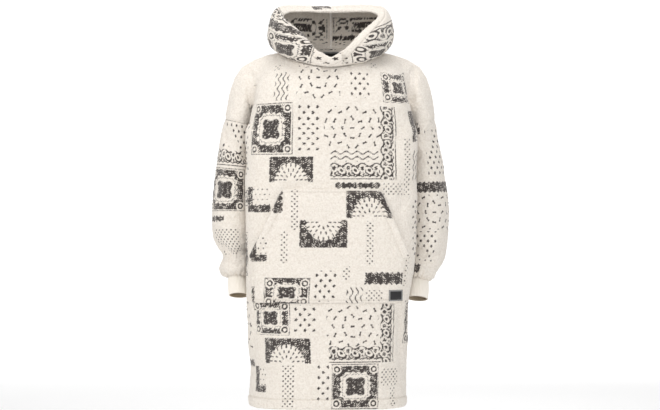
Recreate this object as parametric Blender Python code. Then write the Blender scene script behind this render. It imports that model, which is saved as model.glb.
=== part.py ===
"""Wearable blanket hoodie in thick printed fleece, worn pose, hollow inside.

Metres, +Z up, the front faces -Y and the wearer's left is +X. The origin is the middle of the neck at the
height of the front neck seam, where the wearer's neck and shoulders carry the garment.
"""

from collections import namedtuple
from math import cos, pi, radians, sin

import bmesh
import bpy
import numpy as np
from mathutils import Vector

# Driving sizes
FLEECE = 0.0055  # body fleece with its pile
HEM_THICKNESS = 0.0090  # two layers at the turned bottom hem
HOOD_CLOTH = 0.0042  # each of the hood's two layers
RIB = 0.0030
LABEL = 0.0010
SEAM_GAP = 0.0003
HEM_HEIGHT = 0.028
UNDERARM_HEIGHT = -0.150
SIDE_SEAM_Y = 0.020
SHOULDER_Y = 0.010
NECK_HALF_WIDTH = 0.135
NECK_FRONT_Y = -0.115
NECK_BACK_Y = 0.105
NECK_SIDE_HEIGHT = 0.058
NECK_BACK_HEIGHT = 0.068
ARMHOLE_X = 0.222
ARMHOLE_TOP = 0.036

# Mesh density
HALF_COLUMNS = 12  # from centre front to a side seam
NECK_COLUMNS = 7  # how many of those end on the neckline
YOKE_ROWS = 9  # from the underarm to the shoulder
CAP_COLUMNS = 4  # from the armhole fold to the dropped sleeve seam
SECTION_POINTS = 240  # fine steps along a section before it is spread evenly
SNAP = 0.0004  # a cut runs through the points this close to it
FRONT_ONLY_Y = -0.060  # the pocket lies ahead of this

# The body below the underarm. arm_dent is how far the hanging arm presses the side in, as a share of half_width.
Section = namedtuple("Section", "height centre half_width front back arm_dent arm_y")
TORSO = (
    Section(-0.949, -0.0100, 0.2205, -0.166, 0.170, 0.00, 0.020),
    Section(-0.937, -0.0100, 0.2235, -0.168, 0.172, 0.00, 0.020),
    Section(-0.921, -0.0095, 0.2230, -0.167, 0.171, 0.00, 0.020),
    Section(-0.846, -0.0070, 0.2215, -0.166, 0.171, 0.01, 0.020),
    Section(-0.790, -0.0090, 0.2255, -0.166, 0.172, 0.03, 0.018),
    Section(-0.655, -0.0100, 0.2285, -0.165, 0.170, 0.16, 0.010),
    Section(-0.580, -0.0040, 0.2365, -0.164, 0.168, 0.24, 0.010),
    Section(-0.510, 0.0000, 0.2405, -0.162, 0.167, 0.29, 0.018),
    Section(-0.370, 0.0005, 0.2430, -0.158, 0.163, 0.31, 0.026),
    Section(-0.230, 0.0005, 0.2445, -0.152, 0.158, 0.32, 0.024),
    Section(-0.150, 0.0005, 0.2450, -0.147, 0.154, 0.31, 0.022),
)
ROW_HEIGHTS = (-0.949, -0.937, -0.921, -0.885, -0.830, -0.770, -0.710, -0.655, -0.605, -0.555,
               -0.500, -0.440, -0.370, -0.300, -0.230, -0.185, UNDERARM_HEIGHT)
SQUARENESS = 2.9
DENT_REACH = 0.095

# Soft vertical folds of the body: the place across the front or back, and how deep and wide they are.
Fold = namedtuple("Fold", "side x low high depth width")
BODY_FOLDS = (
    Fold("front", -0.200, -0.94, -0.62, 0.010, 0.020),
    Fold("front", 0.176, -0.90, -0.64, 0.007, 0.022),
    Fold("back", -0.120, -0.94, -0.30, 0.012, 0.040),
    Fold("back", 0.105, -0.94, -0.34, 0.012, 0.042),
    Fold("back", 0.005, -0.94, -0.52, -0.010, 0.050),
)

# The sleeves below the dropped seam. inner and outer are distances from the middle of the body.
Ring = namedtuple("Ring", "height inner outer y half_depth slope lean")
RIGHT_SLEEVE = (  # the wearer's right, at -X
    Ring(-0.150, 0.221, 0.304, 0.020, 0.066, 0.18, 0.00),
    Ring(-0.190, 0.219, 0.314, 0.022, 0.070, 0.16, 0.00),
    Ring(-0.246, 0.217, 0.3235, 0.024, 0.073, 0.12, 0.00),
    Ring(-0.325, 0.216, 0.334, 0.026, 0.076, 0.06, 0.00),
    Ring(-0.385, 0.215, 0.340, 0.025, 0.078, 0.02, 0.02),
    Ring(-0.448, 0.216, 0.341, 0.020, 0.079, 0.00, 0.05),
    Ring(-0.482, 0.217, 0.3354, 0.016, 0.077, 0.00, 0.08),
    Ring(-0.507, 0.219, 0.322, 0.012, 0.071, 0.00, 0.10),
    Ring(-0.526, 0.220, 0.309, 0.009, 0.062, 0.00, 0.12),
    Ring(-0.537, 0.221, 0.3066, 0.007, 0.059, 0.00, 0.13),
    Ring(-0.549, 0.221, 0.316, 0.006, 0.064, 0.00, 0.14),
    Ring(-0.563, 0.222, 0.3215, 0.004, 0.066, 0.00, 0.15),
    Ring(-0.577, 0.225, 0.316, 0.002, 0.062, 0.00, 0.16),
    Ring(-0.586, 0.231, 0.303, 0.000, 0.050, 0.00, 0.16),
    Ring(-0.588, 0.2385, 0.2925, -0.001, 0.039, 0.00, 0.16),
)
LEFT_SLEEVE = (  # the wearer's left, at +X
    Ring(-0.150, 0.221, 0.2995, 0.020, 0.066, 0.12, 0.00),
    Ring(-0.200, 0.219, 0.305, 0.022, 0.070, 0.10, 0.00),
    Ring(-0.260, 0.218, 0.319, 0.024, 0.073, 0.08, 0.00),
    Ring(-0.314, 0.217, 0.3276, 0.026, 0.076, 0.05, 0.00),
    Ring(-0.364, 0.216, 0.335, 0.026, 0.078, 0.02, 0.01),
    Ring(-0.409, 0.216, 0.3375, 0.024, 0.079, 0.00, 0.03),
    Ring(-0.448, 0.216, 0.336, 0.021, 0.079, 0.00, 0.05),
    Ring(-0.493, 0.217, 0.332, 0.014, 0.078, -0.04, 0.08),
    Ring(-0.521, 0.218, 0.327, 0.010, 0.074, -0.08, 0.10),
    Ring(-0.545, 0.218, 0.317, 0.006, 0.067, -0.12, 0.12),
    Ring(-0.561, 0.218, 0.306, 0.004, 0.062, -0.12, 0.13),
    Ring(-0.573, 0.218, 0.299, 0.003, 0.059, -0.10, 0.14),
    Ring(-0.586, 0.218, 0.295, 0.001, 0.056, -0.08, 0.15),
    Ring(-0.595, 0.2185, 0.286, 0.000, 0.048, -0.08, 0.16),
    Ring(-0.597, 0.2205, 0.2775, -0.001, 0.039, -0.08, 0.16),
)
SLEEVE_ROWS = 19
CUFF_LENGTH = 0.052
CUFF_ROWS = 3
CUFF_FORWARD = 0.014  # how far the cuff's lower end leans towards the front
CUFF_END_LEAN = 0.22

# The hood's meridians, from the neck seam to the face edge. angle 0 is centre front and 180 centre back.
Meridian = namedtuple("Meridian", "angle rim_x rim_y rim_z low_out low_up high_out high_up")
HOOD = (
    Meridian(0, 0.000, -0.126, 0.026, 0.006, 0.006, 0.003, -0.008),
    Meridian(20, 0.038, -0.124, 0.050, 0.012, 0.006, 0.008, -0.010),
    Meridian(45, 0.080, -0.110, 0.095, 0.050, -0.004, 0.034, 0.002),
    Meridian(70, 0.118, -0.074, 0.131, 0.074, -0.010, 0.038, 0.026),
    Meridian(95, 0.134, -0.036, 0.150, 0.082, -0.010, 0.036, 0.042),
    Meridian(120, 0.118, -0.012, 0.158, 0.088, -0.010, 0.070, 0.052),
    Meridian(150, 0.062, 0.000, 0.161, 0.098, -0.014, 0.100, 0.058),
    Meridian(180, 0.000, 0.004, 0.160, 0.104, -0.018, 0.116, 0.060),
)
HOOD_COLUMNS = 17  # from a front end to the centre back seam
HOOD_ROWS = 9
HOOD_OVERLAP_ANGLE = 13  # how far each front end passes the centre
CROSSOVER_START = 34
LAP_CLEARANCE = 0.0065
HOOD_BASE_GAP = 0.0010

# The pocket: heights of its outline and half widths there, from the middle of the body.
PocketRow = namedtuple("PocketRow", "height left right")
POCKET = (
    PocketRow(-0.656, -0.2185, 0.2010),
    PocketRow(-0.640, -0.2195, 0.2030),
    PocketRow(-0.524, -0.2235, 0.2165),
    PocketRow(-0.430, -0.1795, 0.1780),
    PocketRow(-0.350, -0.1410, 0.1420),
    PocketRow(-0.340, -0.1320, 0.1300),
)
POCKET_CLOTH = 0.0050

# Labels: middle, width and height as seen from the front.
POCKET_LABEL_AT = (0.1800, -0.6350)
POCKET_LABEL_SIZE = (0.0390, 0.0310)
NECK_LABEL_AT = (0.0, 0.0500)
NECK_LABEL_SIZE = (0.0440, 0.0200)
SIZE_TAB_AT = (0.0, 0.0340)
SIZE_TAB_SIZE = (0.0190, 0.0110)

CREAM = (0.80, 0.76, 0.70)
RIB_CREAM = (0.82, 0.77, 0.69)
BLACK = (0.012, 0.012, 0.013)


def clear_scene():
    for obj in list(bpy.data.objects):
        bpy.data.objects.remove(obj)


def material(name, colour, roughness):
    made = bpy.data.materials.new(name)
    made.use_nodes = True
    shader = made.node_tree.nodes["Principled BSDF"]
    shader.inputs["Base Color"].default_value = (*colour, 1)
    shader.inputs["Roughness"].default_value = roughness
    shader.inputs["Metallic"].default_value = 0
    return made


def column(rows, name):
    return np.array([getattr(row, name) for row in rows], float)


def curve_through(xs, ys, at):
    """A smooth curve through the points (xs, ys), with xs rising and no overshoot between them."""
    steps = np.diff(ys) / np.diff(xs)
    slopes = np.concatenate([steps[:1], np.zeros(len(xs) - 2), steps[-1:]])
    rising = steps[:-1] * steps[1:] > 0
    slopes[1:-1][rising] = 2 * steps[:-1][rising] * steps[1:][rising] / (steps[:-1] + steps[1:])[rising]
    at = np.clip(at, xs[0], xs[-1])
    cell = np.clip(np.searchsorted(xs, at, side="right") - 1, 0, len(xs) - 2)
    width = xs[cell + 1] - xs[cell]
    t = (at - xs[cell]) / width
    return (
        ys[cell] * (1 + 2 * t) * (1 - t) ** 2
        + ys[cell + 1] * t * t * (3 - 2 * t)
        + width * slopes[cell] * t * (1 - t) ** 2
        - width * slopes[cell + 1] * t * t * (1 - t)
    )


def read_table(rows, key, value):
    """The table's other columns at this value of its key column, as a row."""
    ordered = sorted(rows, key=lambda row: getattr(row, key))
    names = ordered[0]._fields
    xs = column(ordered, key)
    return type(ordered[0])(*(float(curve_through(xs, column(ordered, name), value)) for name in names))


def spread_evenly(points, count):
    """count points at equal distances along a fine polyline."""
    steps = np.linalg.norm(np.diff(points, axis=0), axis=1)
    along = np.concatenate([[0], np.cumsum(steps)])
    wanted = np.linspace(0, along[-1], count)
    return np.stack([np.interp(wanted, along, points[:, k]) for k in range(points.shape[1])], axis=1)


def smooth_step(t):
    t = np.clip(t, 0, 1)
    return t * t * (3 - 2 * t)


def fold_depth(side, x, height):
    """How far the soft folds move the cloth in at this place of the front or back."""
    total = 0 * x
    for fold in BODY_FOLDS:
        if fold.side == side:
            share = (height - fold.low) / (fold.high - fold.low)
            fade = smooth_step((1 - share) / 0.4) * smooth_step(share / 0.1 + 0.6) * (share < 1)
            total = total + fold.depth * fade * np.exp(-(((x - fold.x) / fold.width) ** 2))
    return total


def widest_share(row):
    """The widest the pressed front half gets, as a share of its unpressed width."""
    turn = np.linspace(0, pi / 2, SECTION_POINTS)
    y = SIDE_SEAM_Y + (row.front - SIDE_SEAM_Y) * np.cos(turn) ** (2 / SQUARENESS)
    pressed = 1 - row.arm_dent * np.exp(-(((y - row.arm_y) / DENT_REACH) ** 2))
    return float(np.max(np.sin(turn) ** (2 / SQUARENESS) * pressed))


def fine_half_section(side, height):
    """The front or back half of the body's outline at a height, from the -X side seam to the +X one."""
    row = read_table(TORSO, "height", height)
    turn = np.linspace(-pi / 2, pi / 2, SECTION_POINTS)
    power = 2 / SQUARENESS
    across = np.sign(np.sin(turn)) * np.abs(np.sin(turn)) ** power
    deep = np.abs(np.cos(turn)) ** power
    end = row.front if side == "front" else row.back
    y = SIDE_SEAM_Y + (end - SIDE_SEAM_Y) * deep
    pressed = 1 - row.arm_dent * np.exp(-(((y - row.arm_y) / DENT_REACH) ** 2))
    x = row.centre + row.half_width * across * pressed / widest_share(row)
    inwards = 1 if side == "front" else -1
    y = y + inwards * fold_depth(side, x, height) * deep
    return np.stack([x, y], axis=1)


def half_section(side, height):
    flat = spread_evenly(fine_half_section(side, height), 2 * HALF_COLUMNS + 1)
    return np.column_stack([flat, np.full(len(flat), height)])


def neck_point(angle):
    """A point of the neck seam. angle is in degrees from centre front, positive towards +X."""
    turn = radians(angle)
    x = NECK_HALF_WIDTH * sin(turn)
    forward = cos(turn)
    if forward > 0:
        y = SHOULDER_Y + (NECK_FRONT_Y - SHOULDER_Y) * forward
        z = NECK_SIDE_HEIGHT * (1 - forward**1.2)
    else:
        y = SHOULDER_Y - (NECK_BACK_Y - SHOULDER_Y) * forward
        z = NECK_SIDE_HEIGHT - (NECK_BACK_HEIGHT - NECK_SIDE_HEIGHT) * forward
    return np.array([x, y, z])


def yoke_top(side, index):
    """Where a column of the front or back ends: on the neckline, or beyond it on the shoulder seam."""
    sign = -1 if index < 0 else 1
    if abs(index) <= NECK_COLUMNS:
        angle = 90 * index / NECK_COLUMNS
        return neck_point(angle if side == "front" else 180 - angle)
    share = (abs(index) - NECK_COLUMNS) / (HALF_COLUMNS - NECK_COLUMNS)
    x = NECK_HALF_WIDTH + (ARMHOLE_X - NECK_HALF_WIDTH) * share
    z = NECK_SIDE_HEIGHT + (ARMHOLE_TOP - NECK_SIDE_HEIGHT) * share**1.6
    return np.array([sign * x, SHOULDER_Y, z])


def armhole_point(side, sign, share):
    """The fold between body and sleeve cap, from the underarm (share 0) over the front or back to the shoulder."""
    turn = pi * (share - 0.5)
    under = half_section(side, UNDERARM_HEIGHT)[-1 if sign > 0 else 0]
    top = np.array([sign * ARMHOLE_X, SHOULDER_Y, ARMHOLE_TOP])
    middle = (under + top) / 2
    reach = -0.074 if side == "front" else 0.070
    lift = (top[2] - under[2]) / 2
    rise = (1 + sin(turn)) / 2
    x = under[0] + (top[0] - under[0]) * rise + sign * 0.008 * cos(turn)
    y = under[1] + (top[1] - under[1]) * rise + reach * cos(turn)
    return np.array([x, y, middle[2] + lift * sin(turn)])


def ring_point(sleeve, sign, height, turn):
    """A point of a sleeve ring. turn runs from -90 degrees at the body over the front to 90 at the outer side."""
    row = read_table(sleeve, "height", height)
    half_width = (row.outer - row.inner) / 2
    across = half_width * sin(turn)
    deep = -row.half_depth * cos(turn)
    x = (row.outer + row.inner) / 2 + across
    return np.array([sign * x, row.y + deep, row.height + row.slope * across + row.lean * -deep])


def sleeve_of(sign):
    return LEFT_SLEEVE if sign > 0 else RIGHT_SLEEVE


def cap_column(side, sign, share_along):
    """One column of the sleeve cap, between the armhole fold and the dropped seam."""
    sleeve = sleeve_of(sign)
    points = []
    for row in range(YOKE_ROWS + 1):
        share = row / YOKE_ROWS
        start = armhole_point(side, sign, share)
        turn = pi * (share - 0.5)
        if side == "back":
            turn = pi - turn
        end = ring_point(sleeve, sign, UNDERARM_HEIGHT, turn)
        length = np.linalg.norm(end - start)
        out = np.array([sign * 1.0, 0, -0.35]) * length * 1.15 * share
        down = np.array([sign * 0.12, 0, -1.0]) * length * 1.05 * share
        t = share_along
        points.append(
            start * (1 + 2 * t) * (1 - t) ** 2
            + end * t * t * (3 - 2 * t)
            + out * t * (1 - t) ** 2
            - down * t * t * (1 - t)
        )
    return points


def panel_grid(side):
    """Rows of points of the front or back, by row and column number. Sleeve caps widen the upper rows."""
    grid = {}
    for row, height in enumerate(ROW_HEIGHTS):
        for index, point in enumerate(half_section(side, height)):
            grid[row, index - HALF_COLUMNS] = point
    first = len(ROW_HEIGHTS) - 1
    for index in range(-HALF_COLUMNS + 1, HALF_COLUMNS):
        low = grid[first, index]
        top = yoke_top(side, index)
        for row in range(1, YOKE_ROWS + 1):
            share = row / YOKE_ROWS
            roundness = 2.3
            kept = (1 - share**roundness) ** (1 / roundness)
            x = low[0] + (top[0] - low[0]) * smooth_step(share) * share
            y = top[1] + (low[1] - top[1]) * kept
            z = low[2] + (top[2] - low[2]) * share
            grid[first + row, index] = np.array([x, y, z])
    for sign in (-1, 1):
        for step in range(CAP_COLUMNS + 1):
            points = cap_column(side, sign, step / CAP_COLUMNS)
            for row, point in enumerate(points):
                if row or step:
                    grid[first + row, sign * (HALF_COLUMNS + step)] = point
    return grid


def weld_key(place):
    """Points with the same key are one point. The odd offset keeps round numbers away from a rounding edge."""
    return tuple(np.round(np.array(place) * 1e5 + 0.1234))


class Cloth:
    """A surface of welded points, whose faces each belong to a named panel."""

    def __init__(self):
        self.points, self.faces, self.panels, self.thickness = [], [], [], []
        self.known = {}

    def point(self, place, thickness):
        key = weld_key(place)
        if key not in self.known:
            self.known[key] = len(self.points)
            self.points.append(np.array(place, float))
            self.thickness.append(thickness)
        return self.known[key]

    def face(self, panel, *corners):
        if len(set(corners)) == len(corners):
            self.faces.append(corners)
            self.panels.append(panel)

    def settle(self, fixed, rounds, pull=0.5):
        """Evens out the points that fixed doesn't name, so that rows of different kinds run into each other."""
        near = [set() for _ in self.points]
        for face in self.faces:
            for a, b in zip(face, face[1:] + face[:1]):
                near[a].add(b)
                near[b].add(a)
        for _ in range(rounds):
            moved = [
                place if index in fixed else place + pull * (np.mean([self.points[k] for k in near[index]], 0) - place)
                for index, place in enumerate(self.points)
            ]
            self.points = moved

    def cut_quads(self):
        """Cuts each four-sided face along its shorter diagonal, so that every sheet made from it bends alike."""
        faces, panels = [], []
        for face, panel in zip(self.faces, self.panels):
            for piece in halves(face, self.points):
                faces.append(piece)
                panels.append(panel)
        self.faces, self.panels = faces, panels

    def outward(self):
        """Unit normals at the points, facing away from the inside."""
        normals = np.zeros((len(self.points), 3))
        for face in self.faces:
            corners = [self.points[k] for k in face]
            for k, index in enumerate(face):
                a = corners[k - 1] - corners[k]
                b = corners[(k + 1) % len(face)] - corners[k]
                cross = np.cross(b, a)
                size = np.linalg.norm(cross)
                angle = np.arctan2(size, a @ b)
                normals[index] += cross / max(size, 1e-12) * angle
        return normals / np.linalg.norm(normals, axis=1)[:, None]

    def solid(self, panel, finish):
        """The closed wall of one panel, with half a seam gap taken off along its edges."""
        normals = self.outward()
        faces = [face for face, owner in zip(self.faces, self.panels) if owner == panel]
        used = sorted({index for face in faces for index in face})
        sides = {}
        centres = {index: [] for index in used}
        for face in faces:
            centre = np.mean([self.points[k] for k in face], 0)
            for a, b in zip(face, face[1:] + face[:1]):
                sides[a, b] = True
                centres[a].append(centre)
        rim = [(a, b) for a, b in sides if (b, a) not in sides]
        edge = {index for pair in rim for index in pair}
        outer, inner = [], []
        for index in used:
            place = self.points[index]
            if index in edge:
                inwards = np.mean(centres[index], 0) - place
                inwards -= (inwards @ normals[index]) * normals[index]
                place = place + inwards / np.linalg.norm(inwards) * SEAM_GAP / 2
            outer.append(place)
            inner.append(place - normals[index] * self.thickness[index])
        wall(panel, outer, inner, used, faces, rim, finish)
        number = {index: k for k, index in enumerate(used)}
        shared = [tuple(number[k] for k in face) for face in faces]
        return (outer, shared), (inner, [face[::-1] for face in shared])


def halves(face, points):
    if len(face) == 3:
        return [face]
    a, b, c, d = face
    if np.linalg.norm(points[a] - points[c]) <= np.linalg.norm(points[b] - points[d]):
        return [(a, b, c), (a, c, d)]
    return [(a, b, d), (b, c, d)]


def wall(name, outer, inner, used, faces, rim, finish):
    """A closed solid between an outer and an inner sheet that share their faces."""
    number = {index: k for k, index in enumerate(used)}
    count = len(used)
    made = [tuple(number[k] for k in face) for face in faces]
    made += [tuple(number[k] + count for k in reversed(face)) for face in faces]
    for a, b in rim:
        start, end = number[a], number[b]
        # The pieces on both sides of a seam cut its rim faces alike.
        if a < b:
            made += [(end, start, end + count), (start, start + count, end + count)]
        else:
            made += [(end, start, start + count), (end, start + count, end + count)]
    return mesh_object(name, [*outer, *inner], made, finish)


def mesh_object(name, points, faces, finish):
    mesh = bpy.data.meshes.new(name)
    mesh.from_pydata([tuple(map(float, p)) for p in points], [], faces)
    shaped = bmesh.new()
    shaped.from_mesh(mesh)
    bmesh.ops.triangulate(shaped, faces=shaped.faces, quad_method="SHORT_EDGE")
    shaped.to_mesh(mesh)
    shaped.free()
    mesh.materials.append(finish)
    mesh.shade_smooth()
    mesh.set_sharp_from_angle(angle=radians(50))
    obj = bpy.data.objects.new(name, mesh)
    bpy.context.scene.collection.objects.link(obj)
    return obj


def sheet_wall(name, rows, layers, finish):
    """A closed wall from a rectangular grid. layers gives each point's outer and inner place."""
    count = len(rows[0])
    base = [np.array(place) for row in rows for place in row]
    faces = []
    for r in range(len(rows) - 1):
        for c in range(count - 1):
            corner = r * count + c
            faces += halves((corner, corner + 1, corner + count + 1, corner + count), base)
    sides = {pair for face in faces for pair in zip(face, face[1:] + face[:1])}
    rim = [(a, b) for a, b in sides if (b, a) not in sides]
    outer, inner = layers
    flat = range(count * len(rows))
    return wall(name, outer, inner, flat, faces, sorted(rim), finish)


def grid_normals(points):
    """Unit normals of a rectangular grid of points, by central differences: across the columns times up the rows."""
    across = np.gradient(points, axis=1)
    up = np.gradient(points, axis=0)
    normals = np.cross(across, up)
    return normals / np.linalg.norm(normals, axis=2)[:, :, None]


def body_and_sleeves(fleece):
    cloth = Cloth()
    fixed = set()
    first = len(ROW_HEIGHTS) - 1
    for side in ("front", "back"):
        grid = panel_grid(side)
        number = {}
        for (row, index), place in grid.items():
            in_hem = row < len(ROW_HEIGHTS) and ROW_HEIGHTS[row] < ROW_HEIGHTS[0] + HEM_HEIGHT
            number[row, index] = cloth.point(place, HEM_THICKNESS if in_hem else FLEECE)
            if row < first or row == first + YOKE_ROWS or abs(index) == HALF_COLUMNS + CAP_COLUMNS:
                fixed.add(number[row, index])
        for (row, index), a in number.items():
            corners = [number.get(key) for key in ((row, index + 1), (row + 1, index + 1), (row + 1, index))]
            if None not in corners:
                loop = (a, *corners)
                cloth.face("body_" + side, *(loop if side == "front" else loop[::-1]))
    cloth.settle(fixed, rounds=11)
    cloth.known = {weld_key(place): index for index, place in enumerate(cloth.points)}
    for sign, name in ((-1, "sleeve_right"), (1, "sleeve_left")):
        sleeve = sleeve_of(sign)
        heights = sleeve_heights(sleeve)
        turns = [pi * (k / YOKE_ROWS - 0.5) for k in range(2 * YOKE_ROWS)]
        rings = [
            [cloth.point(ring_point(sleeve, sign, height, turn), FLEECE) for turn in turns] for height in heights
        ]
        for upper, lower in zip(rings, rings[1:]):
            for k in range(len(turns)):
                n = (k + 1) % len(turns)
                loop = (lower[k], lower[n], upper[n], upper[k])
                cloth.face(name, *(loop if sign > 0 else loop[::-1]))
    cloth.cut_quads()
    for name in ("sleeve_right", "sleeve_left"):
        cloth.solid(name, fleece)
    front, _ = cloth.solid("body_front", fleece)
    _, inside_back = cloth.solid("body_back", fleece)
    return front, inside_back


def sleeve_heights(sleeve):
    """Heights of a sleeve's rings, closer together where its outline bends more."""
    fine = np.linspace(sleeve[0].height, sleeve[-1].height, SECTION_POINTS)
    outline = np.array([[read_table(sleeve, "height", h).outer * 1.6, h] for h in fine])
    spaced = spread_evenly(np.column_stack([outline, fine]), SLEEVE_ROWS)
    heights = spaced[:, 2]
    heights[0], heights[-1] = sleeve[0].height, sleeve[-1].height
    return heights


def cuff(name, sign, rib):
    """A ribbed tube that carries on from the sleeve's end and leans a little forward."""
    sleeve = sleeve_of(sign)
    end = sleeve[-1]
    around = 2 * YOKE_ROWS
    outer, inner, faces = [], [], []
    for row in range(CUFF_ROWS + 1):
        share = row / CUFF_ROWS
        widen = 1 + 0.05 * share
        lean = end.lean + (CUFF_END_LEAN - end.lean) * share
        for k in range(around):
            turn = pi * (k / YOKE_ROWS - 0.5)
            half = (end.outer - end.inner) / 2
            for points, taken in ((outer, 0), (inner, RIB)):
                across = (half * widen - taken) * sin(turn)
                deep = -(end.half_depth * widen - taken) * cos(turn)
                x = (end.outer + end.inner) / 2 + across - 0.004 * share
                y = end.y + deep - CUFF_FORWARD * share
                z = end.height - SEAM_GAP - CUFF_LENGTH * share + end.slope * across - lean * deep
                points.append((sign * x, y, z))
    count = around * (CUFF_ROWS + 1)
    for row in range(CUFF_ROWS):
        for k in range(around):
            n = (k + 1) % around
            a, b, c, d = (row + 1) * around + k, (row + 1) * around + n, row * around + n, row * around + k
            loop = (a, b, c, d) if sign > 0 else (d, c, b, a)
            faces.append(loop)
    sides = {pair for face in faces for pair in zip(face, face[1:] + face[:1])}
    rim = sorted((a, b) for a, b in sides if (b, a) not in sides)
    wall(name, outer, inner, range(count), faces, rim, rib)


def piece_on(sheet, outline, thickness, name, finish, limit=None):
    """A piece that lies on a sheet: the part of it inside a convex outline of (x, height), moved out.

    limit is the largest y of the part that counts.
    """
    points, faces = sheet
    cut = bmesh.new()
    corners = [cut.verts.new(tuple(map(float, p))) for p in points]
    for face in faces:
        cut.faces.new([corners[k] for k in face])
    for (x0, z0), (x1, z1) in zip(outline, outline[1:] + outline[:1]):
        everything = cut.verts[:] + cut.edges[:] + cut.faces[:]
        away = Vector((z1 - z0, 0, x0 - x1)).normalized()
        bmesh.ops.bisect_plane(
            cut, geom=everything, dist=SNAP, plane_co=(x0, 0, z0), plane_no=away, clear_outer=True
        )
    if limit is not None:
        everything = cut.verts[:] + cut.edges[:] + cut.faces[:]
        bmesh.ops.bisect_plane(cut, geom=everything, plane_co=(0, limit, 0), plane_no=(0, 1, 0), clear_outer=True)
    bmesh.ops.triangulate(cut, faces=cut.faces[:])
    cut.normal_update()
    cut.verts.index_update()
    base = np.array([v.co for v in cut.verts])
    normals = np.array([v.normal for v in cut.verts])
    faces = [tuple(v.index for v in face.verts) for face in cut.faces]
    cut.free()
    sides = {pair for face in faces for pair in zip(face, face[1:] + face[:1])}
    rim = sorted((a, b) for a, b in sides if (b, a) not in sides)
    outer = base + normals * (SEAM_GAP + thickness)
    wall(name, outer, base + normals * SEAM_GAP, range(len(base)), faces, rim, finish)
    return outer, faces


def pocket(front, fleece, black):
    left = [(row.left, row.height) for row in POCKET[::-1]]
    right = [(row.right, row.height) for row in POCKET]
    outside = piece_on(front, left + right, POCKET_CLOTH, "pocket", fleece, FRONT_ONLY_Y)
    piece_on(outside, rectangle(POCKET_LABEL_AT, POCKET_LABEL_SIZE), LABEL, "pocket_label", black)


def rectangle(middle, size):
    corners = ((-0.5, -0.5), (0.5, -0.5), (0.5, 0.5), (-0.5, 0.5))
    return [(middle[0] + size[0] * across, middle[1] + size[1] * up) for across, up in corners]


def crossover(sign, angle):
    """How far a hood layer is moved out at the front, where the right half lies over the left one."""
    if sign > 0:
        return 0
    lapping = smooth_step((angle + CROSSOVER_START) / (CROSSOVER_START - HOOD_OVERLAP_ANGLE))
    return (2 * HOOD_CLOTH + LAP_CLEARANCE) * lapping


def hood_point(sign, angle, share):
    """A point of the hood's outer surface. angle is signed from centre front and share runs from neck to face edge."""
    row = read_table(HOOD, "angle", abs(angle))
    side = -1 if angle < 0 else 1
    turn = radians(angle)
    out = np.array([sin(turn), -cos(turn), 0])
    start = neck_point(angle) + np.array([0, 0, HOOD_BASE_GAP])
    end = np.array([side * row.rim_x, row.rim_y, row.rim_z])
    low = start + out * row.low_out + np.array([0, 0, row.low_up])
    high = end + out * row.high_out + np.array([0, 0, row.high_up])
    t = share
    place = (
        start * (1 - t) ** 3 + low * 3 * t * (1 - t) ** 2 + high * 3 * t * t * (1 - t) + end * t**3
    )
    return place + out * crossover(sign, angle)


def hood_half(sign):
    """Grid of outer points of one half: columns from its front end round to the centre back, rows upwards."""
    first, last = -sign * HOOD_OVERLAP_ANGLE, sign * 180
    angles = [first + (last - first) * (c / HOOD_COLUMNS) for c in range(HOOD_COLUMNS + 1)]
    shares = [r / HOOD_ROWS for r in range(HOOD_ROWS + 1)]
    return np.array([[hood_point(sign, angle, share) for angle in angles] for share in shares])


def hood(fleece):
    for sign, half in ((-1, "right"), (1, "left")):
        points = hood_half(sign)
        normals = grid_normals(points) * sign
        normals[:, -1, 0] = 0  # the seam at centre back lies in the middle plane
        normals[:, -1] /= np.linalg.norm(normals[:, -1], axis=1)[:, None]
        points[:, -1, 0] = sign * SEAM_GAP / 2
        for name, top in (("hood_" + half, 0), ("hood_lining_" + half, HOOD_CLOTH + SEAM_GAP)):
            outer = points - normals * top
            inner = points - normals * (top + HOOD_CLOTH)
            rows = points if sign > 0 else points[:, ::-1]
            order = outer if sign > 0 else outer[:, ::-1]
            under = inner if sign > 0 else inner[:, ::-1]
            sheet_wall(name, rows, (order.reshape(-1, 3), under.reshape(-1, 3)), fleece)


def neck_labels(inside_back, black):
    """The neck label inside the back panel, just under the neck seam, and the size tab below it."""
    piece_on(inside_back, rectangle(NECK_LABEL_AT, NECK_LABEL_SIZE), LABEL, "neck_label", black)
    piece_on(inside_back, rectangle(SIZE_TAB_AT, SIZE_TAB_SIZE), LABEL, "size_tab", black)


def main():
    clear_scene()
    fleece = material("printed_fleece", CREAM, 0.95)
    rib = material("cream_rib", RIB_CREAM, 0.9)
    black = material("black_label", BLACK, 0.6)
    front, inside_back = body_and_sleeves(fleece)
    cuff("cuff_right", -1, rib)
    cuff("cuff_left", 1, rib)
    pocket(front, fleece, black)
    hood(fleece)
    neck_labels(inside_back, black)


main()
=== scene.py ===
"""A worn blanket hoodie in printed plush fleece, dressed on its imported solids.

Metres, +Z up. The front faces -Y, and the wearer's right is at -X. The tables repeat the solids' own sizes.
Each panel is a coarse welded cloth, subdivided, with seams, creases and pile pressed in. The print is
worked out at each point of the cloth as "ink", from 0 to 1, in print units of one photo pixel.
"""
from collections import namedtuple
from math import cos, pi, radians, sin

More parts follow.
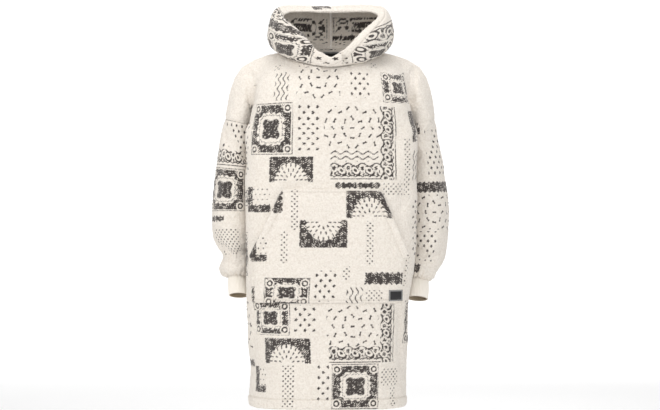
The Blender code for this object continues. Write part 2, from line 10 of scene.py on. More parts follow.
import bmesh
import bpy
import numpy as np
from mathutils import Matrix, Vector


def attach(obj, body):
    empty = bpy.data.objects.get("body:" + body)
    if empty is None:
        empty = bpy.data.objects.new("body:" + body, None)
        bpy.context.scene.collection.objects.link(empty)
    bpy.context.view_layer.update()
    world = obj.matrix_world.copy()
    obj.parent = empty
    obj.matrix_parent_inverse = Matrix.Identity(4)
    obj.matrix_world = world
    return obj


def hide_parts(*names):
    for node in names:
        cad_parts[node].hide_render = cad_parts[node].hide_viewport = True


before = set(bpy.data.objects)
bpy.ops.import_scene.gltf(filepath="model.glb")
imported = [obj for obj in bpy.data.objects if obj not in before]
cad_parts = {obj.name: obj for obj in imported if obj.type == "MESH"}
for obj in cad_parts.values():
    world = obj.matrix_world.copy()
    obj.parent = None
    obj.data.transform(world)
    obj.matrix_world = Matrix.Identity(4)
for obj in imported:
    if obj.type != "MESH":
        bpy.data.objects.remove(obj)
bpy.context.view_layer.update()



def named_rows(columns, rows):
    return [columns(*row) for row in rows]


# shape tables, the same as those of the solids
SIDE_SEAM_Y, SHOULDER_Y, UNDERARM = 0.020, 0.010, -0.150
NECK_HALF_WIDTH, NECK_FRONT_Y, NECK_BACK_Y = 0.135, -0.115, 0.105
NECK_SIDE_HEIGHT, NECK_BACK_HEIGHT = 0.058, 0.068
ARMHOLE_X, ARMHOLE_TOP = 0.222, 0.036
SQUARENESS, DENT_REACH = 2.9, 0.095
HEM_Z = -0.949

Section = namedtuple("Section", "height centre half_width front back arm_dent arm_y")
TORSO = named_rows(Section, (
    (-0.949, -0.0100, 0.2205, -0.166, 0.170, 0.00, 0.020),
    (-0.937, -0.0100, 0.2235, -0.168, 0.172, 0.00, 0.020),
    (-0.921, -0.0095, 0.2230, -0.167, 0.171, 0.00, 0.020),
    (-0.846, -0.0070, 0.2215, -0.166, 0.171, 0.01, 0.020),
    (-0.790, -0.0090, 0.2255, -0.166, 0.172, 0.03, 0.018),
    (-0.655, -0.0100, 0.2285, -0.165, 0.170, 0.16, 0.010),
    (-0.580, -0.0040, 0.2365, -0.164, 0.168, 0.24, 0.010),
    (-0.510, 0.0000, 0.2405, -0.162, 0.167, 0.29, 0.018),
    (-0.370, 0.0005, 0.2430, -0.158, 0.163, 0.31, 0.026),
    (-0.230, 0.0005, 0.2445, -0.152, 0.158, 0.32, 0.024),
    (-0.150, 0.0005, 0.2450, -0.147, 0.154, 0.31, 0.022),
))
Ring = namedtuple("Ring", "height inner outer y half_depth slope lean")
RIGHT_SLEEVE = named_rows(Ring, (  # the wearer's right, at -X
    (-0.150, 0.221, 0.304, 0.020, 0.066, 0.18, 0.00),
    (-0.190, 0.219, 0.314, 0.022, 0.070, 0.16, 0.00),
    (-0.246, 0.217, 0.3235, 0.024, 0.073, 0.12, 0.00),
    (-0.325, 0.216, 0.334, 0.026, 0.076, 0.06, 0.00),
    (-0.385, 0.215, 0.340, 0.025, 0.078, 0.02, 0.02),
    (-0.448, 0.216, 0.341, 0.020, 0.079, 0.00, 0.05),
    (-0.482, 0.217, 0.3354, 0.016, 0.077, 0.00, 0.08),
    (-0.507, 0.219, 0.322, 0.012, 0.071, 0.00, 0.10),
    (-0.526, 0.220, 0.309, 0.009, 0.062, 0.00, 0.12),
    (-0.537, 0.221, 0.3066, 0.007, 0.059, 0.00, 0.13),
    (-0.549, 0.221, 0.316, 0.006, 0.064, 0.00, 0.14),
    (-0.563, 0.222, 0.3215, 0.004, 0.066, 0.00, 0.15),
    (-0.577, 0.225, 0.316, 0.002, 0.062, 0.00, 0.16),
    (-0.586, 0.231, 0.303, 0.000, 0.050, 0.00, 0.16),
    (-0.588, 0.2385, 0.2925, -0.001, 0.039, 0.00, 0.16),
))
LEFT_SLEEVE = named_rows(Ring, (  # the wearer's left, at +X
    (-0.150, 0.221, 0.2995, 0.020, 0.066, 0.12, 0.00),
    (-0.200, 0.219, 0.305, 0.022, 0.070, 0.10, 0.00),
    (-0.260, 0.218, 0.319, 0.024, 0.073, 0.08, 0.00),
    (-0.314, 0.217, 0.3276, 0.026, 0.076, 0.05, 0.00),
    (-0.364, 0.216, 0.335, 0.026, 0.078, 0.02, 0.01),
    (-0.409, 0.216, 0.3375, 0.024, 0.079, 0.00, 0.03),
    (-0.448, 0.216, 0.336, 0.021, 0.079, 0.00, 0.05),
    (-0.493, 0.217, 0.332, 0.014, 0.078, -0.04, 0.08),
    (-0.521, 0.218, 0.327, 0.010, 0.074, -0.08, 0.10),
    (-0.545, 0.218, 0.317, 0.006, 0.067, -0.12, 0.12),
    (-0.561, 0.218, 0.306, 0.004, 0.062, -0.12, 0.13),
    (-0.573, 0.218, 0.299, 0.003, 0.059, -0.10, 0.14),
    (-0.586, 0.218, 0.295, 0.001, 0.056, -0.08, 0.15),
    (-0.595, 0.2185, 0.286, 0.000, 0.048, -0.08, 0.16),
    (-0.597, 0.2205, 0.2775, -0.001, 0.039, -0.08, 0.16),
))
SLEEVES = {-1: RIGHT_SLEEVE, 1: LEFT_SLEEVE}
HALVES = ((-1, "right"), (1, "left"))
CUFF_LENGTH, CUFF_FORWARD, CUFF_END_LEAN = 0.052, 0.014, 0.22

Meridian = namedtuple("Meridian", "angle rim_x rim_y rim_z low_out low_up high_out high_up")
HOOD = named_rows(Meridian, (
    (0, 0.000, -0.126, 0.026, 0.006, 0.006, 0.003, -0.008),
    (20, 0.038, -0.124, 0.050, 0.012, 0.006, 0.008, -0.010),
    (45, 0.080, -0.110, 0.095, 0.050, -0.004, 0.034, 0.002),
    (70, 0.118, -0.074, 0.131, 0.074, -0.010, 0.038, 0.026),
    (95, 0.134, -0.036, 0.150, 0.082, -0.010, 0.036, 0.042),
    (120, 0.118, -0.012, 0.158, 0.088, -0.010, 0.070, 0.052),
    (150, 0.062, 0.000, 0.161, 0.098, -0.014, 0.100, 0.058),
    (180, 0.000, 0.004, 0.160, 0.104, -0.018, 0.116, 0.060),
))
HOOD_OVERLAP, CROSSOVER_START, LAP = 13, 34, 0.0149
POCKET = ((-0.2185, -0.656), (-0.2195, -0.640), (-0.2235, -0.524), (-0.1795, -0.430), (-0.1410, -0.350),
          (-0.1320, -0.340), (0.1300, -0.340), (0.1420, -0.350), (0.1780, -0.430), (0.2165, -0.524),
          (0.2030, -0.640), (0.2010, -0.656))

Fold = namedtuple("Fold", "side x low high depth width")
BODY_FOLDS = named_rows(Fold, (
    ("front", -0.200, -0.94, -0.62, 0.010, 0.020),
    ("front", 0.176, -0.90, -0.64, 0.007, 0.022),
    ("back", -0.120, -0.94, -0.30, 0.012, 0.040),
    ("back", 0.105, -0.94, -0.34, 0.012, 0.042),
    ("back", 0.005, -0.94, -0.52, -0.010, 0.050),
))

# mesh density of the cloth before it is subdivided
HALF, NECK_COLUMNS, YOKE, CAP, LEVELS = 15, 9, 11, 5, 3
ROUNDS = 14  # how often the shoulders are smoothed
SLEEVE_RINGS = 31
SLEEVE_GIRTH = 0.43
FLEECE = 0.0055


# curves
def cubic(start, end, leaving, arriving, t):
    """The curve from start to end that has these slopes at its two ends."""
    return (start * (1 + 2 * t) * (1 - t) ** 2 + end * t * t * (3 - 2 * t)
            + leaving * t * (1 - t) ** 2 - arriving * t * t * (1 - t))


def curve_through(xs, ys, at):
    """A smooth curve through the points that never overshoots them."""
    steps = np.diff(ys) / np.diff(xs)
    slopes = np.concatenate([steps[:1], np.zeros(len(xs) - 2), steps[-1:]])
    rising = steps[:-1] * steps[1:] > 0
    slopes[1:-1][rising] = 2 * steps[:-1][rising] * steps[1:][rising] / (steps[:-1] + steps[1:])[rising]
    at = np.clip(at, xs[0], xs[-1])
    cell = np.clip(np.searchsorted(xs, at, side="right") - 1, 0, len(xs) - 2)
    width = xs[cell + 1] - xs[cell]
    t = (at - xs[cell]) / width
    return cubic(ys[cell], ys[cell + 1], width * slopes[cell], width * slopes[cell + 1], t)


def read_table(rows, key, value):
    """A row of the table at any value of its key column."""
    ordered = sorted(rows, key=lambda row: getattr(row, key))
    xs = np.array([getattr(row, key) for row in ordered], float)
    names = ordered[0]._fields
    columns = [np.array([getattr(row, name) for row in ordered], float) for name in names]
    return type(ordered[0])(*(curve_through(xs, column, value) for column in columns))


def spread_evenly(points, count):
    """This many points at equal steps along a line of points."""
    along = np.concatenate([[0], np.cumsum(np.linalg.norm(np.diff(points, axis=0), axis=1))])
    wanted = np.linspace(0, along[-1], count)
    return np.stack([np.interp(wanted, along, points[:, k]) for k in range(points.shape[1])], axis=1)


def smooth(low, high, value):
    """0 below low, 1 above high, and a soft step between them."""
    t = np.clip((value - low) / (high - low), 0, 1)
    return t * t * (3 - 2 * t)


def bump(distance, width):
    """1 at no distance, fading to nothing over about twice the width."""
    return np.exp(-((distance / width) ** 2))


# the coarse welded cloth
def pressed(row, y):
    return 1 - row.arm_dent * np.exp(-(((y - row.arm_y) / DENT_REACH) ** 2))


def half_section(side, height):
    """The front or back half of the torso's section, from side seam to side seam."""
    row = read_table(TORSO, "height", height)
    turn = np.linspace(-pi / 2, pi / 2, 240)
    power = 2 / SQUARENESS
    ahead = SIDE_SEAM_Y + (row.front - SIDE_SEAM_Y) * np.cos(turn) ** power
    widest = np.max(np.abs(np.sin(turn)) ** power * pressed(row, ahead))
    across = np.sign(turn) * np.abs(np.sin(turn)) ** power
    deep = np.abs(np.cos(turn)) ** power
    end = row.front if side == "front" else row.back
    y = SIDE_SEAM_Y + (end - SIDE_SEAM_Y) * deep
    x = row.centre + row.half_width * across * pressed(row, y) / widest
    move = 0 * x
    for fold in BODY_FOLDS:
        if fold.side == side and height < fold.high:
            share = (height - fold.low) / (fold.high - fold.low)
            fade = smooth(0, 0.4, 1 - share) * smooth(-0.6, 0.4, share * 10)
            move = move + fold.depth * fade * bump(x - fold.x, fold.width)
    y = y + (1 if side == "front" else -1) * move * deep
    flat = spread_evenly(np.stack([x, y], axis=1), 2 * HALF + 1)
    return np.column_stack([flat, np.full(len(flat), height)])


def neck_point(angle):
    """The neck seam, by degrees around from the throat."""
    turn = radians(angle)
    forward = cos(turn)
    x = NECK_HALF_WIDTH * sin(turn)
    if forward > 0:
        return np.array([x, SHOULDER_Y + (NECK_FRONT_Y - SHOULDER_Y) * forward,
                         NECK_SIDE_HEIGHT * (1 - forward**1.2)])
    return np.array([x, SHOULDER_Y - (NECK_BACK_Y - SHOULDER_Y) * forward,
                     NECK_SIDE_HEIGHT - (NECK_BACK_HEIGHT - NECK_SIDE_HEIGHT) * forward])


def yoke_top(side, index):
    sign = -1 if index < 0 else 1
    if abs(index) <= NECK_COLUMNS:
        angle = 90 * index / NECK_COLUMNS
        return neck_point(angle if side == "front" else 180 - angle)
    share = (abs(index) - NECK_COLUMNS) / (HALF - NECK_COLUMNS)
    x = NECK_HALF_WIDTH + (ARMHOLE_X - NECK_HALF_WIDTH) * share
    z = NECK_SIDE_HEIGHT + (ARMHOLE_TOP - NECK_SIDE_HEIGHT) * share**1.6
    return np.array([sign * x, SHOULDER_Y, z])


def armhole_point(side, sign, share, under):
    """The armhole seam, from the underarm at share 0 to the shoulder at 1."""
    turn = pi * (share - 0.5)
    top = np.array([sign * ARMHOLE_X, SHOULDER_Y, ARMHOLE_TOP])
    reach = -0.074 if side == "front" else 0.070
    rise = (1 + sin(turn)) / 2
    x = under[0] + (top[0] - under[0]) * rise + sign * 0.008 * cos(turn)
    y = under[1] + (top[1] - under[1]) * rise + reach * cos(turn)
    return np.array([x, y, (under[2] + top[2]) / 2 + (top[2] - under[2]) / 2 * sin(turn)])


def ring_point(sign, height, turn):
    """A sleeve's surface: turn 0 faces front, and pi / 2 is the outer side."""
    row = read_table(SLEEVES[sign], "height", height)
    across = (row.outer - row.inner) / 2 * sin(turn)
    deep = -row.half_depth * cos(turn)
    x = (row.outer + row.inner) / 2 + across
    return np.array([sign * x, row.y + deep, row.height + row.slope * across - row.lean * deep])


def cap_column(side, sign, t, under):
    """A column of the shoulder's cap, at share t of the way from the armhole to the sleeve's top ring."""
    points = []
    for row in range(YOKE + 1):
        share = row / YOKE
        start = armhole_point(side, sign, share, under)
        turn = pi * (share - 0.5)
        end = ring_point(sign, UNDERARM, turn if side == "front" else pi - turn)
        length = np.linalg.norm(end - start)
        out = np.array([sign * 1.0, 0, -0.35]) * length * 1.15 * share
        down = np.array([sign * 0.12, 0, -1.0]) * length * 1.05 * share
        points.append(cubic(start, end, out, down, t))
    return points


def row_heights():
    low = [-0.949, -0.943, -0.935, -0.925, -0.908]
    return low + list(np.linspace(-0.885, UNDERARM, 33))


ROWS = row_heights()
FIRST = len(ROWS) - 1
PANELS = ("body_front", "body_back", "sleeve_right", "sleeve_left")


def welding_key(place):
    """Points that share a key are one point. The shift keeps round sizes off the edge of the rounding."""
    return tuple(np.round(place * 1e5 + 0.1234))


class Cloth:
    """The coarse cloth. Each face has its panel, and each of its corners a flat place and (column, row)."""

    def __init__(self):
        self.points, self.faces, self.panels, self.flat, self.grid, self.known = [], [], [], [], [], {}

    def point(self, place):
        key = welding_key(place)
        if key not in self.known:
            self.known[key] = len(self.points)
            self.points.append(place)
        return self.known[key]

    def face(self, panel, corners, flat, grid, turned):
        if turned:
            corners, flat, grid = corners[::-1], flat[::-1], grid[::-1]
        self.faces.append(corners)
        self.panels.append(PANELS.index(panel))
        self.flat += flat
        self.grid += grid


def panel_grid(side):
    """The points of the front or back panel with its half of both caps, by (row, column)."""
    grid = {}
    for row, height in enumerate(ROWS):
        for index, point in enumerate(half_section(side, height)):
            grid[row, index - HALF] = point
    for index in range(-HALF + 1, HALF):
        low, top = grid[FIRST, index], yoke_top(side, index)
        for row in range(1, YOKE + 1):
            share = row / YOKE
            kept = (1 - share**2.3) ** (1 / 2.3)
            grid[FIRST + row, index] = np.array([
                low[0] + (top[0] - low[0]) * smooth(0, 1, share) * share,
                top[1] + (low[1] - top[1]) * kept,
                low[2] + (top[2] - low[2]) * share])
    for sign in (-1, 1):
        under = grid[FIRST, sign * HALF]
        for step in range(CAP + 1):
            for row, point in enumerate(cap_column(side, sign, step / CAP, under)):
                if row or step:
                    grid[FIRST + row, sign * (HALF + step)] = point
    return grid


def flat_places(grid, rows):
    """The print's coordinates: across from the centre, and up, which follows the cloth of the yoke."""
    flat = {}
    for row in range(rows):
        for sign in (-1, 1):
            along, index = 0.0, 0
            while (row, index) in grid:
                here = grid[row, index]
                if index:
                    along += float(np.linalg.norm(here - grid[row, index - sign]))
                if row <= FIRST:
                    up = ROWS[row]
                elif (row - 1, index) in flat:
                    up = flat[row - 1, index][1] + float(np.linalg.norm(here - grid[row - 1, index]))
                else:
                    up = UNDERARM
                flat[row, index] = (sign * along, up)
                index += sign
    return flat


def build_cloth():
    """The body, shoulders and sleeves as one cloth, smoothed where the body meets the sleeves."""
    cloth = Cloth()
    fixed = set()
    for side in ("front", "back"):
        grid = panel_grid(side)
        flat = flat_places(grid, FIRST + YOKE + 1)
        number = {}
        for (row, index), place in grid.items():
            number[row, index] = cloth.point(place)
            if row < FIRST or row == FIRST + YOKE or abs(index) == HALF + CAP:
                fixed.add(number[row, index])
        for row, index in grid:
            keys = [(row, index), (row, index + 1), (row + 1, index + 1), (row + 1, index)]
            if all(key in number for key in keys):
                cloth.face("body_" + side, [number[k] for k in keys], [flat[k] for k in keys],
                           [(k[1], k[0]) for k in keys], side == "back")
    near = [set() for _ in cloth.points]
    for face in cloth.faces:
        for a, b in zip(face, face[1:] + face[:1]):
            near[a].add(b)
            near[b].add(a)
    for _ in range(ROUNDS):
        middles = [np.mean([cloth.points[n] for n in around], 0) for around in near]
        cloth.points = [place if k in fixed else place + 0.5 * (middles[k] - place)
                        for k, place in enumerate(cloth.points)]
    cloth.known = {welding_key(place): k for k, place in enumerate(cloth.points)}
    for sign, half in HALVES:
        table = SLEEVES[sign]
        fine = np.linspace(table[0].height, table[-1].height, 240)
        outline = np.array([[read_table(table, "height", h).outer * 1.6, h, h] for h in fine])
        heights = spread_evenly(outline, SLEEVE_RINGS)[:, 2]
        heights[0], heights[-1] = fine[0], fine[-1]
        around = 2 * YOKE
        turns = [pi * (k / YOKE - 0.5) for k in range(around)]
        rings = [[cloth.point(ring_point(sign, h, turn)) for turn in turns] for h in heights]
        for r in range(len(heights) - 1):
            for k in range(around):
                n = (k + 1) % around
                corners = [rings[r + 1][k], rings[r + 1][n], rings[r][n], rings[r][k]]
                arcs = [k, k + 1, k + 1, k]
                levels = [r + 1, r + 1, r, r]
                flat = [((arc / around - 0.25) * SLEEVE_GIRTH, heights[level])
                        for arc, level in zip(arcs, levels)]
                cloth.face("sleeve_" + half, corners, flat, list(zip(arcs, levels)), sign < 0)
    return cloth


def read(items, key, width, kind):
    values = np.empty(len(items) * width, kind)
    items.foreach_get(key, values)
    return values


def subdivided(cloth):
    """(points, faces, panels, flat, grid) of the smooth fine surface."""
    mesh = bpy.data.meshes.new("coarse")
    mesh.from_pydata([tuple(map(float, p)) for p in cloth.points], [], cloth.faces)
    for name, values in (("flat", cloth.flat), ("grid", cloth.grid)):
        layer = mesh.uv_layers.new(name=name)
        layer.data.foreach_set("uv", np.array(values, np.float32).ravel())
    for _ in PANELS:
        mesh.materials.append(None)
    mesh.polygons.foreach_set("material_index", np.array(cloth.panels, np.int32))
    obj = bpy.data.objects.new("coarse", mesh)
    bpy.context.scene.collection.objects.link(obj)
    modifier = obj.modifiers.new("fine", "SUBSURF")
    modifier.levels = modifier.render_levels = LEVELS
    modifier.uv_smooth = "NONE"
    modifier.boundary_smooth = "PRESERVE_CORNERS"
    made = obj.evaluated_get(bpy.context.evaluated_depsgraph_get()).to_mesh()
    points = read(made.vertices, "co", 3, np.float32).reshape(-1, 3).astype(float)
    faces = read(made.loops, "vertex_index", 1, np.int32).reshape(-1, 4)
    panels = read(made.polygons, "material_index", 1, np.int32)
    layers = [read(made.uv_layers[name].data, "uv", 2, np.float32).reshape(-1, 4, 2).astype(float)
              for name in ("flat", "grid")]
    bpy.data.objects.remove(obj)
    return points, faces, panels, *layers


def normals_of(points, faces):
    a, b, c, d = (points[faces[:, k]] for k in range(4))
    cross = np.cross(c - a, d - b)
    normals = np.zeros_like(points)
    for k in range(4):
        np.add.at(normals, faces[:, k], cross)
    return normals / np.maximum(np.linalg.norm(normals, axis=1), 1e-12)[:, None]


def panel_of(fine, name):
    """One panel of the fine surface with its own points: (points, normals, faces, flat, grid)."""
    points, faces, panels, flat, grid, normals = fine
    chosen = panels == PANELS.index(name)
    faces, flat, grid = faces[chosen], flat[chosen], grid[chosen]
    corners = np.column_stack([faces.ravel(), np.round(flat.reshape(-1, 2) * 2e4)])
    _, first, index = np.unique(corners, axis=0, return_index=True, return_inverse=True)
    used = faces.ravel()[first]
    flat, grid = flat.reshape(-1, 2)[first], grid.reshape(-1, 2)[first]
    return points[used], normals[used], index.reshape(-1, 4), flat, grid


def value_noise(points, size, seed):
    """Smooth noise from -1 to 1 on a lattice of this cell size."""
    places = points / size
    base = np.floor(places).astype(np.int64)
    t = places - base
    t = t * t * (3 - 2 * t)
    total = np.zeros(len(points))
    for corner in range(2 ** points.shape[1]):
        weight = np.ones(len(points))
        mixed = np.full(len(points), seed * 7919, np.int64)
        for axis in range(points.shape[1]):
            step = (corner >> axis) & 1
            weight = weight * (t[:, axis] if step else 1 - t[:, axis])
            mixed = mixed * 73856093 + (base[:, axis] + step) * (19349663 + 83492791 * axis)
        mixed = (mixed ^ (mixed >> 13)) * 1274126177
        total += weight * (((mixed ^ (mixed >> 16)) & 0xFFFF) / 32767.5 - 1)
    return total


def mesh_piece(name, points, faces, values=None, finish=None):
    mesh = bpy.data.meshes.new(name)
    mesh.vertices.add(len(points))
    mesh.vertices.foreach_set("co", np.ascontiguousarray(points, np.float32).ravel())
    width = faces.shape[1]
    mesh.loops.add(faces.size)
    mesh.loops.foreach_set("vertex_index", np.ascontiguousarray(faces, np.int32).ravel())
    mesh.polygons.add(len(faces))
    mesh.polygons.foreach_set("loop_start", np.arange(0, faces.size, width, dtype=np.int32))
    mesh.polygons.foreach_set("loop_total", np.full(len(faces), width, np.int32))
    mesh.update(calc_edges=True)
    mesh.validate()
    for key, value in (values or {}).items():
        layer = mesh.attributes.new(key, "FLOAT", "POINT")
        layer.data.foreach_set("value", np.ascontiguousarray(value, np.float32))
    mesh.shade_smooth()
    obj = bpy.data.objects.new(name, mesh)
    bpy.context.scene.collection.objects.link(obj)
    if finish:
        mesh.materials.append(finish)
    return obj


def rim_of(faces):
    """Directed edges of the faces that no other face shares."""
    ends = np.concatenate([np.column_stack([faces[:, k], faces[:, (k + 1) % faces.shape[1]]])
                           for k in range(faces.shape[1])])
    ends = ends[ends[:, 0] != ends[:, 1]]
    key = ends[:, 0].astype(np.int64) * 2**32 + ends[:, 1]
    back = ends[:, 1].astype(np.int64) * 2**32 + ends[:, 0]
    return ends[~np.isin(key, back)]


def turned_edge(points, normals, faces, keep, depth, run):
    """Rolls the rim edges that keep() accepts over into the inside.

    depth is the cloth's thickness, and run is how far the turned cloth goes back up. Returns the points,
    the faces and the index of each new point's rim point.
    """
    rim = rim_of(faces)
    rim = rim[keep(points[rim].mean(1))]
    used = np.unique(rim)
    number = np.full(len(points), -1)
    number[used] = np.arange(len(used))
    inward = np.zeros((len(points), 3))
    centres = points[faces].mean(1)
    for k in range(faces.shape[1]):
        np.add.at(inward, faces[:, k], centres - points[faces[:, k]])
    inward = inward[used] - (inward[used] * normals[used]).sum(1)[:, None] * normals[used]
    inward /= np.maximum(np.linalg.norm(inward, axis=1), 1e-9)[:, None]
    rolled = [(-0.28, 0.12), (-0.42, 0.5), (-0.28, 0.88), (0.0, 1.0)]
    profile = rolled + [(k, 1.0) for k in np.linspace(0, 1, 6)[1:]]
    rows, made, count = [used], [], len(points)
    for k, (back, deep) in enumerate(profile):
        step = back * (depth if k < len(rolled) else run)
        new = points[used] + inward * step - normals[used] * depth * deep
        made.append(new)
        rows.append(np.arange(count, count + len(used)))
        count += len(used)
    strips = []
    a, b = number[rim[:, 0]], number[rim[:, 1]]
    for upper, lower in zip(rows, rows[1:]):
        strips.append(np.column_stack([upper[b], upper[a], lower[a], lower[b]]))
    return np.vstack([points, *made]), np.vstack([faces, *strips]), np.concatenate([used] * len(made))


# shaping the fine cloth
Crease = namedtuple("Crease", "x0 z0 x1 z1 depth width")
# Soft troughs, or ridges where the depth is below 0, from one end to the other as seen from the front.
FRONT_CREASES = named_rows(Crease, (
    (-0.234, 0.010, -0.222, -0.120, 0.006, 0.012),
    (-0.222, -0.120, -0.236, -0.300, 0.003, 0.012),
    (0.236, 0.020, 0.226, -0.110, 0.006, 0.012),
    (0.214, -0.300, 0.190, -0.420, 0.003, 0.020),
    (-0.140, -0.335, -0.060, -0.328, 0.0035, 0.010),
    (0.060, -0.330, 0.150, -0.345, 0.0035, 0.010),
    (-0.212, -0.640, -0.222, -0.860, 0.004, 0.008),
    (0.190, -0.650, 0.196, -0.860, 0.004, 0.008),
    (-0.060, -0.050, -0.150, -0.150, -0.003, 0.030),
    (0.060, -0.050, 0.160, -0.170, -0.003, 0.030),
    (-0.020, -0.720, -0.050, -0.900, 0.0025, 0.030),
    (0.100, -0.700, 0.080, -0.880, 0.0025, 0.030),
    (0.020, -0.060, 0.010, -0.300, -0.0025, 0.040),
    (-0.196, -0.130, -0.150, -0.300, 0.0030, 0.022),
    (0.200, -0.150, 0.150, -0.290, 0.0030, 0.022),
    (0.020, -0.740, 0.030, -0.910, -0.0030, 0.036),
    (-0.140, -0.700, -0.150, -0.900, -0.0025, 0.030),
))
BACK_CREASES = named_rows(Crease, (
    (-0.232, 0.010, -0.220, -0.120, 0.006, 0.012),
    (0.234, 0.020, 0.224, -0.110, 0.006, 0.012),
    (-0.100, -0.020, -0.060, -0.200, -0.003, 0.030),
    (0.090, -0.020, 0.040, -0.230, -0.003, 0.030),
    (-0.160, -0.300, -0.080, -0.480, 0.004, 0.026),
    (0.170, -0.320, 0.070, -0.500, 0.004, 0.026),
))
# On the sleeves x is the place around, as a share: -1 at the body, -0.5 at the front, 0 on the outer side.
SLEEVE_CREASES = named_rows(Crease, (
    (-0.20, -0.165, -0.55, -0.235, 0.007, 0.10),
    (-0.95, -0.200, -0.60, -0.260, 0.004, 0.10),
    (-0.15, -0.495, -0.45, -0.540, 0.005, 0.06),
    (-0.80, -0.505, -0.45, -0.530, 0.006, 0.06),
    (-0.70, -0.545, -0.30, -0.560, 0.004, 0.05),
    (0.15, -0.505, 0.60, -0.545, 0.006, 0.06),
    (0.30, -0.200, 0.60, -0.250, 0.005, 0.10),
    (0.20, -0.380, 0.50, -0.440, 0.004, 0.12),
))
SLEEVE_GIRTH_HALF = 0.21  # metres for each 1 of the sleeve creases' x
CELL, YOKE_CELL, SLEEVE_CELL = 0.020, 0.018, 0.0155  # about one cell of the coarse cloth, in metres
HEM_STITCH = 0.026  # how far the hem's stitching stands above the hem
GATHERS = 17
DEEPER = 1.6  # the plush rounds the creases off, so they are pressed in deeper than the tables say


def crease_depth(creases, x, z, x_size=1.0):
    """How far the creases push the cloth in. x_size turns x into metres for the distance."""
    total = np.zeros(len(x))
    for c in creases:
        dx, dz = (c.x1 - c.x0) * x_size, c.z1 - c.z0
        length = dx * dx + dz * dz
        t = np.clip(((x - c.x0) * x_size * dx + (z - c.z0) * dz) / length, 0, 1)
        gap = np.hypot((x - c.x0) * x_size - t * dx, z - c.z0 - t * dz)
        fade = smooth(0, 0.25, t) * smooth(0, 0.25, 1 - t) * 0.8 + 0.2
        total += DEEPER * c.depth * fade * bump(gap, c.width * x_size)
    return total


def pile(points, amount):
    """Height of the fleece's clumped pile."""
    clumps = value_noise(points, 0.0062, 3) + 0.6 * value_noise(points, 0.0034, 5)
    waves = value_noise(points, 0.045, 11)
    return amount * (0.0007 * clumps + 0.0010 * waves)


def shaped(name, panel):
    """The panel's points with pile, creases and seams pressed in, and its line of stitching."""
    points, normals, _, _, grid = panel
    x, z = points[:, 0], points[:, 2]
    row, col = grid[:, 1], grid[:, 0]
    move = pile(points, 1.7)
    if name.startswith("body"):
        creases = FRONT_CREASES if name == "body_front" else BACK_CREASES
        move -= crease_depth(creases, x, z)
        side_seam = (HALF - np.abs(col)) * CELL
        move -= 0.0022 * bump(side_seam, 0.004) * smooth(0.6, -0.6, row - FIRST)
        move -= 0.0025 * bump((FIRST + YOKE - row) * YOKE_CELL, 0.004) * (np.abs(col) > NECK_COLUMNS - 1)
        move -= 0.0026 * bump((HALF + CAP - np.abs(col)) * CELL, 0.004)
        stitched = z - (HEM_Z + HEM_STITCH)
        move += 0.0016 * smooth(0.0, -0.004, stitched) - 0.0022 * bump(stitched, 0.0022)
        stitch = bump(stitched, 0.0012)
    else:
        around = col / (2 * YOKE) * 2 - 1
        move -= crease_depth(SLEEVE_CREASES, around, z, SLEEVE_GIRTH_HALF)
        move -= 0.0026 * bump(row * SLEEVE_CELL, 0.004)
        gather = smooth(-0.560, -0.590, z)
        move += gather * 0.0022 * np.sin(around * pi * GATHERS + 2 * value_noise(points, 0.03, 9))
        stitch = 0 * z
    return points + normals * move[:, None], stitch


# the hood
HOOD_CLOTH = 0.0042
LINING_TUCK = 0.005  # how far the lining reaches below the neck seam, inside
ROOF_RIM_RISE, ROOF_CROWN_RISE = 0.011, 0.017  # the plush stands this much higher over the head
HOOD_ANGLES, HOOD_SHARES, RIM_STEPS = 220, 84, 9
HOOD_RIM_RUN = 0.01  # how far the print is carried on over the face edge


def grid_faces(rows, count):
    """The quads of a grid of points, row after row, with count points in a row."""
    r, c = np.mgrid[0:rows - 1, 0:count - 1]
    first = (r * count + c).ravel()
    return np.column_stack([first, first + 1, first + count + 1, first + count])


def hood_surface(sign, angles, shares):
    """Grid (share, angle) of outer points of one half."""
    row = read_table(HOOD, "angle", np.abs(angles))
    turn = np.radians(angles)
    out = np.stack([np.sin(turn), -np.cos(turn), 0 * turn], axis=1)
    up = np.array([0, 0, 1.0])
    start = np.array([neck_point(a) for a in angles]) + up * 0.001
    end = np.stack([np.sign(angles) * row.rim_x, row.rim_y, row.rim_z], axis=1)
    low = start + out * row.low_out[:, None] + up * row.low_up[:, None]
    high = end + out * row.high_out[:, None] + up * row.high_up[:, None]
    t = shares[:, None, None]
    place = (start * (1 - t) ** 3 + low * 3 * t * (1 - t) ** 2
             + high * 3 * t * t * (1 - t) + end * t**3)
    lap = smooth(-CROSSOVER_START, -HOOD_OVERLAP, angles) if sign < 0 else 0 * angles
    crown = smooth(0.25, 0.75, t[:, :, 0]) * ROOF_CROWN_RISE
    back_down = smooth(0.8, 1.0, t[:, :, 0]) * (ROOF_CROWN_RISE - ROOF_RIM_RISE)
    roof = smooth(75, 130, np.abs(angles)) * (crown - back_down)
    return place + out * (LAP * lap)[:, None] + roof[:, :, None] * up


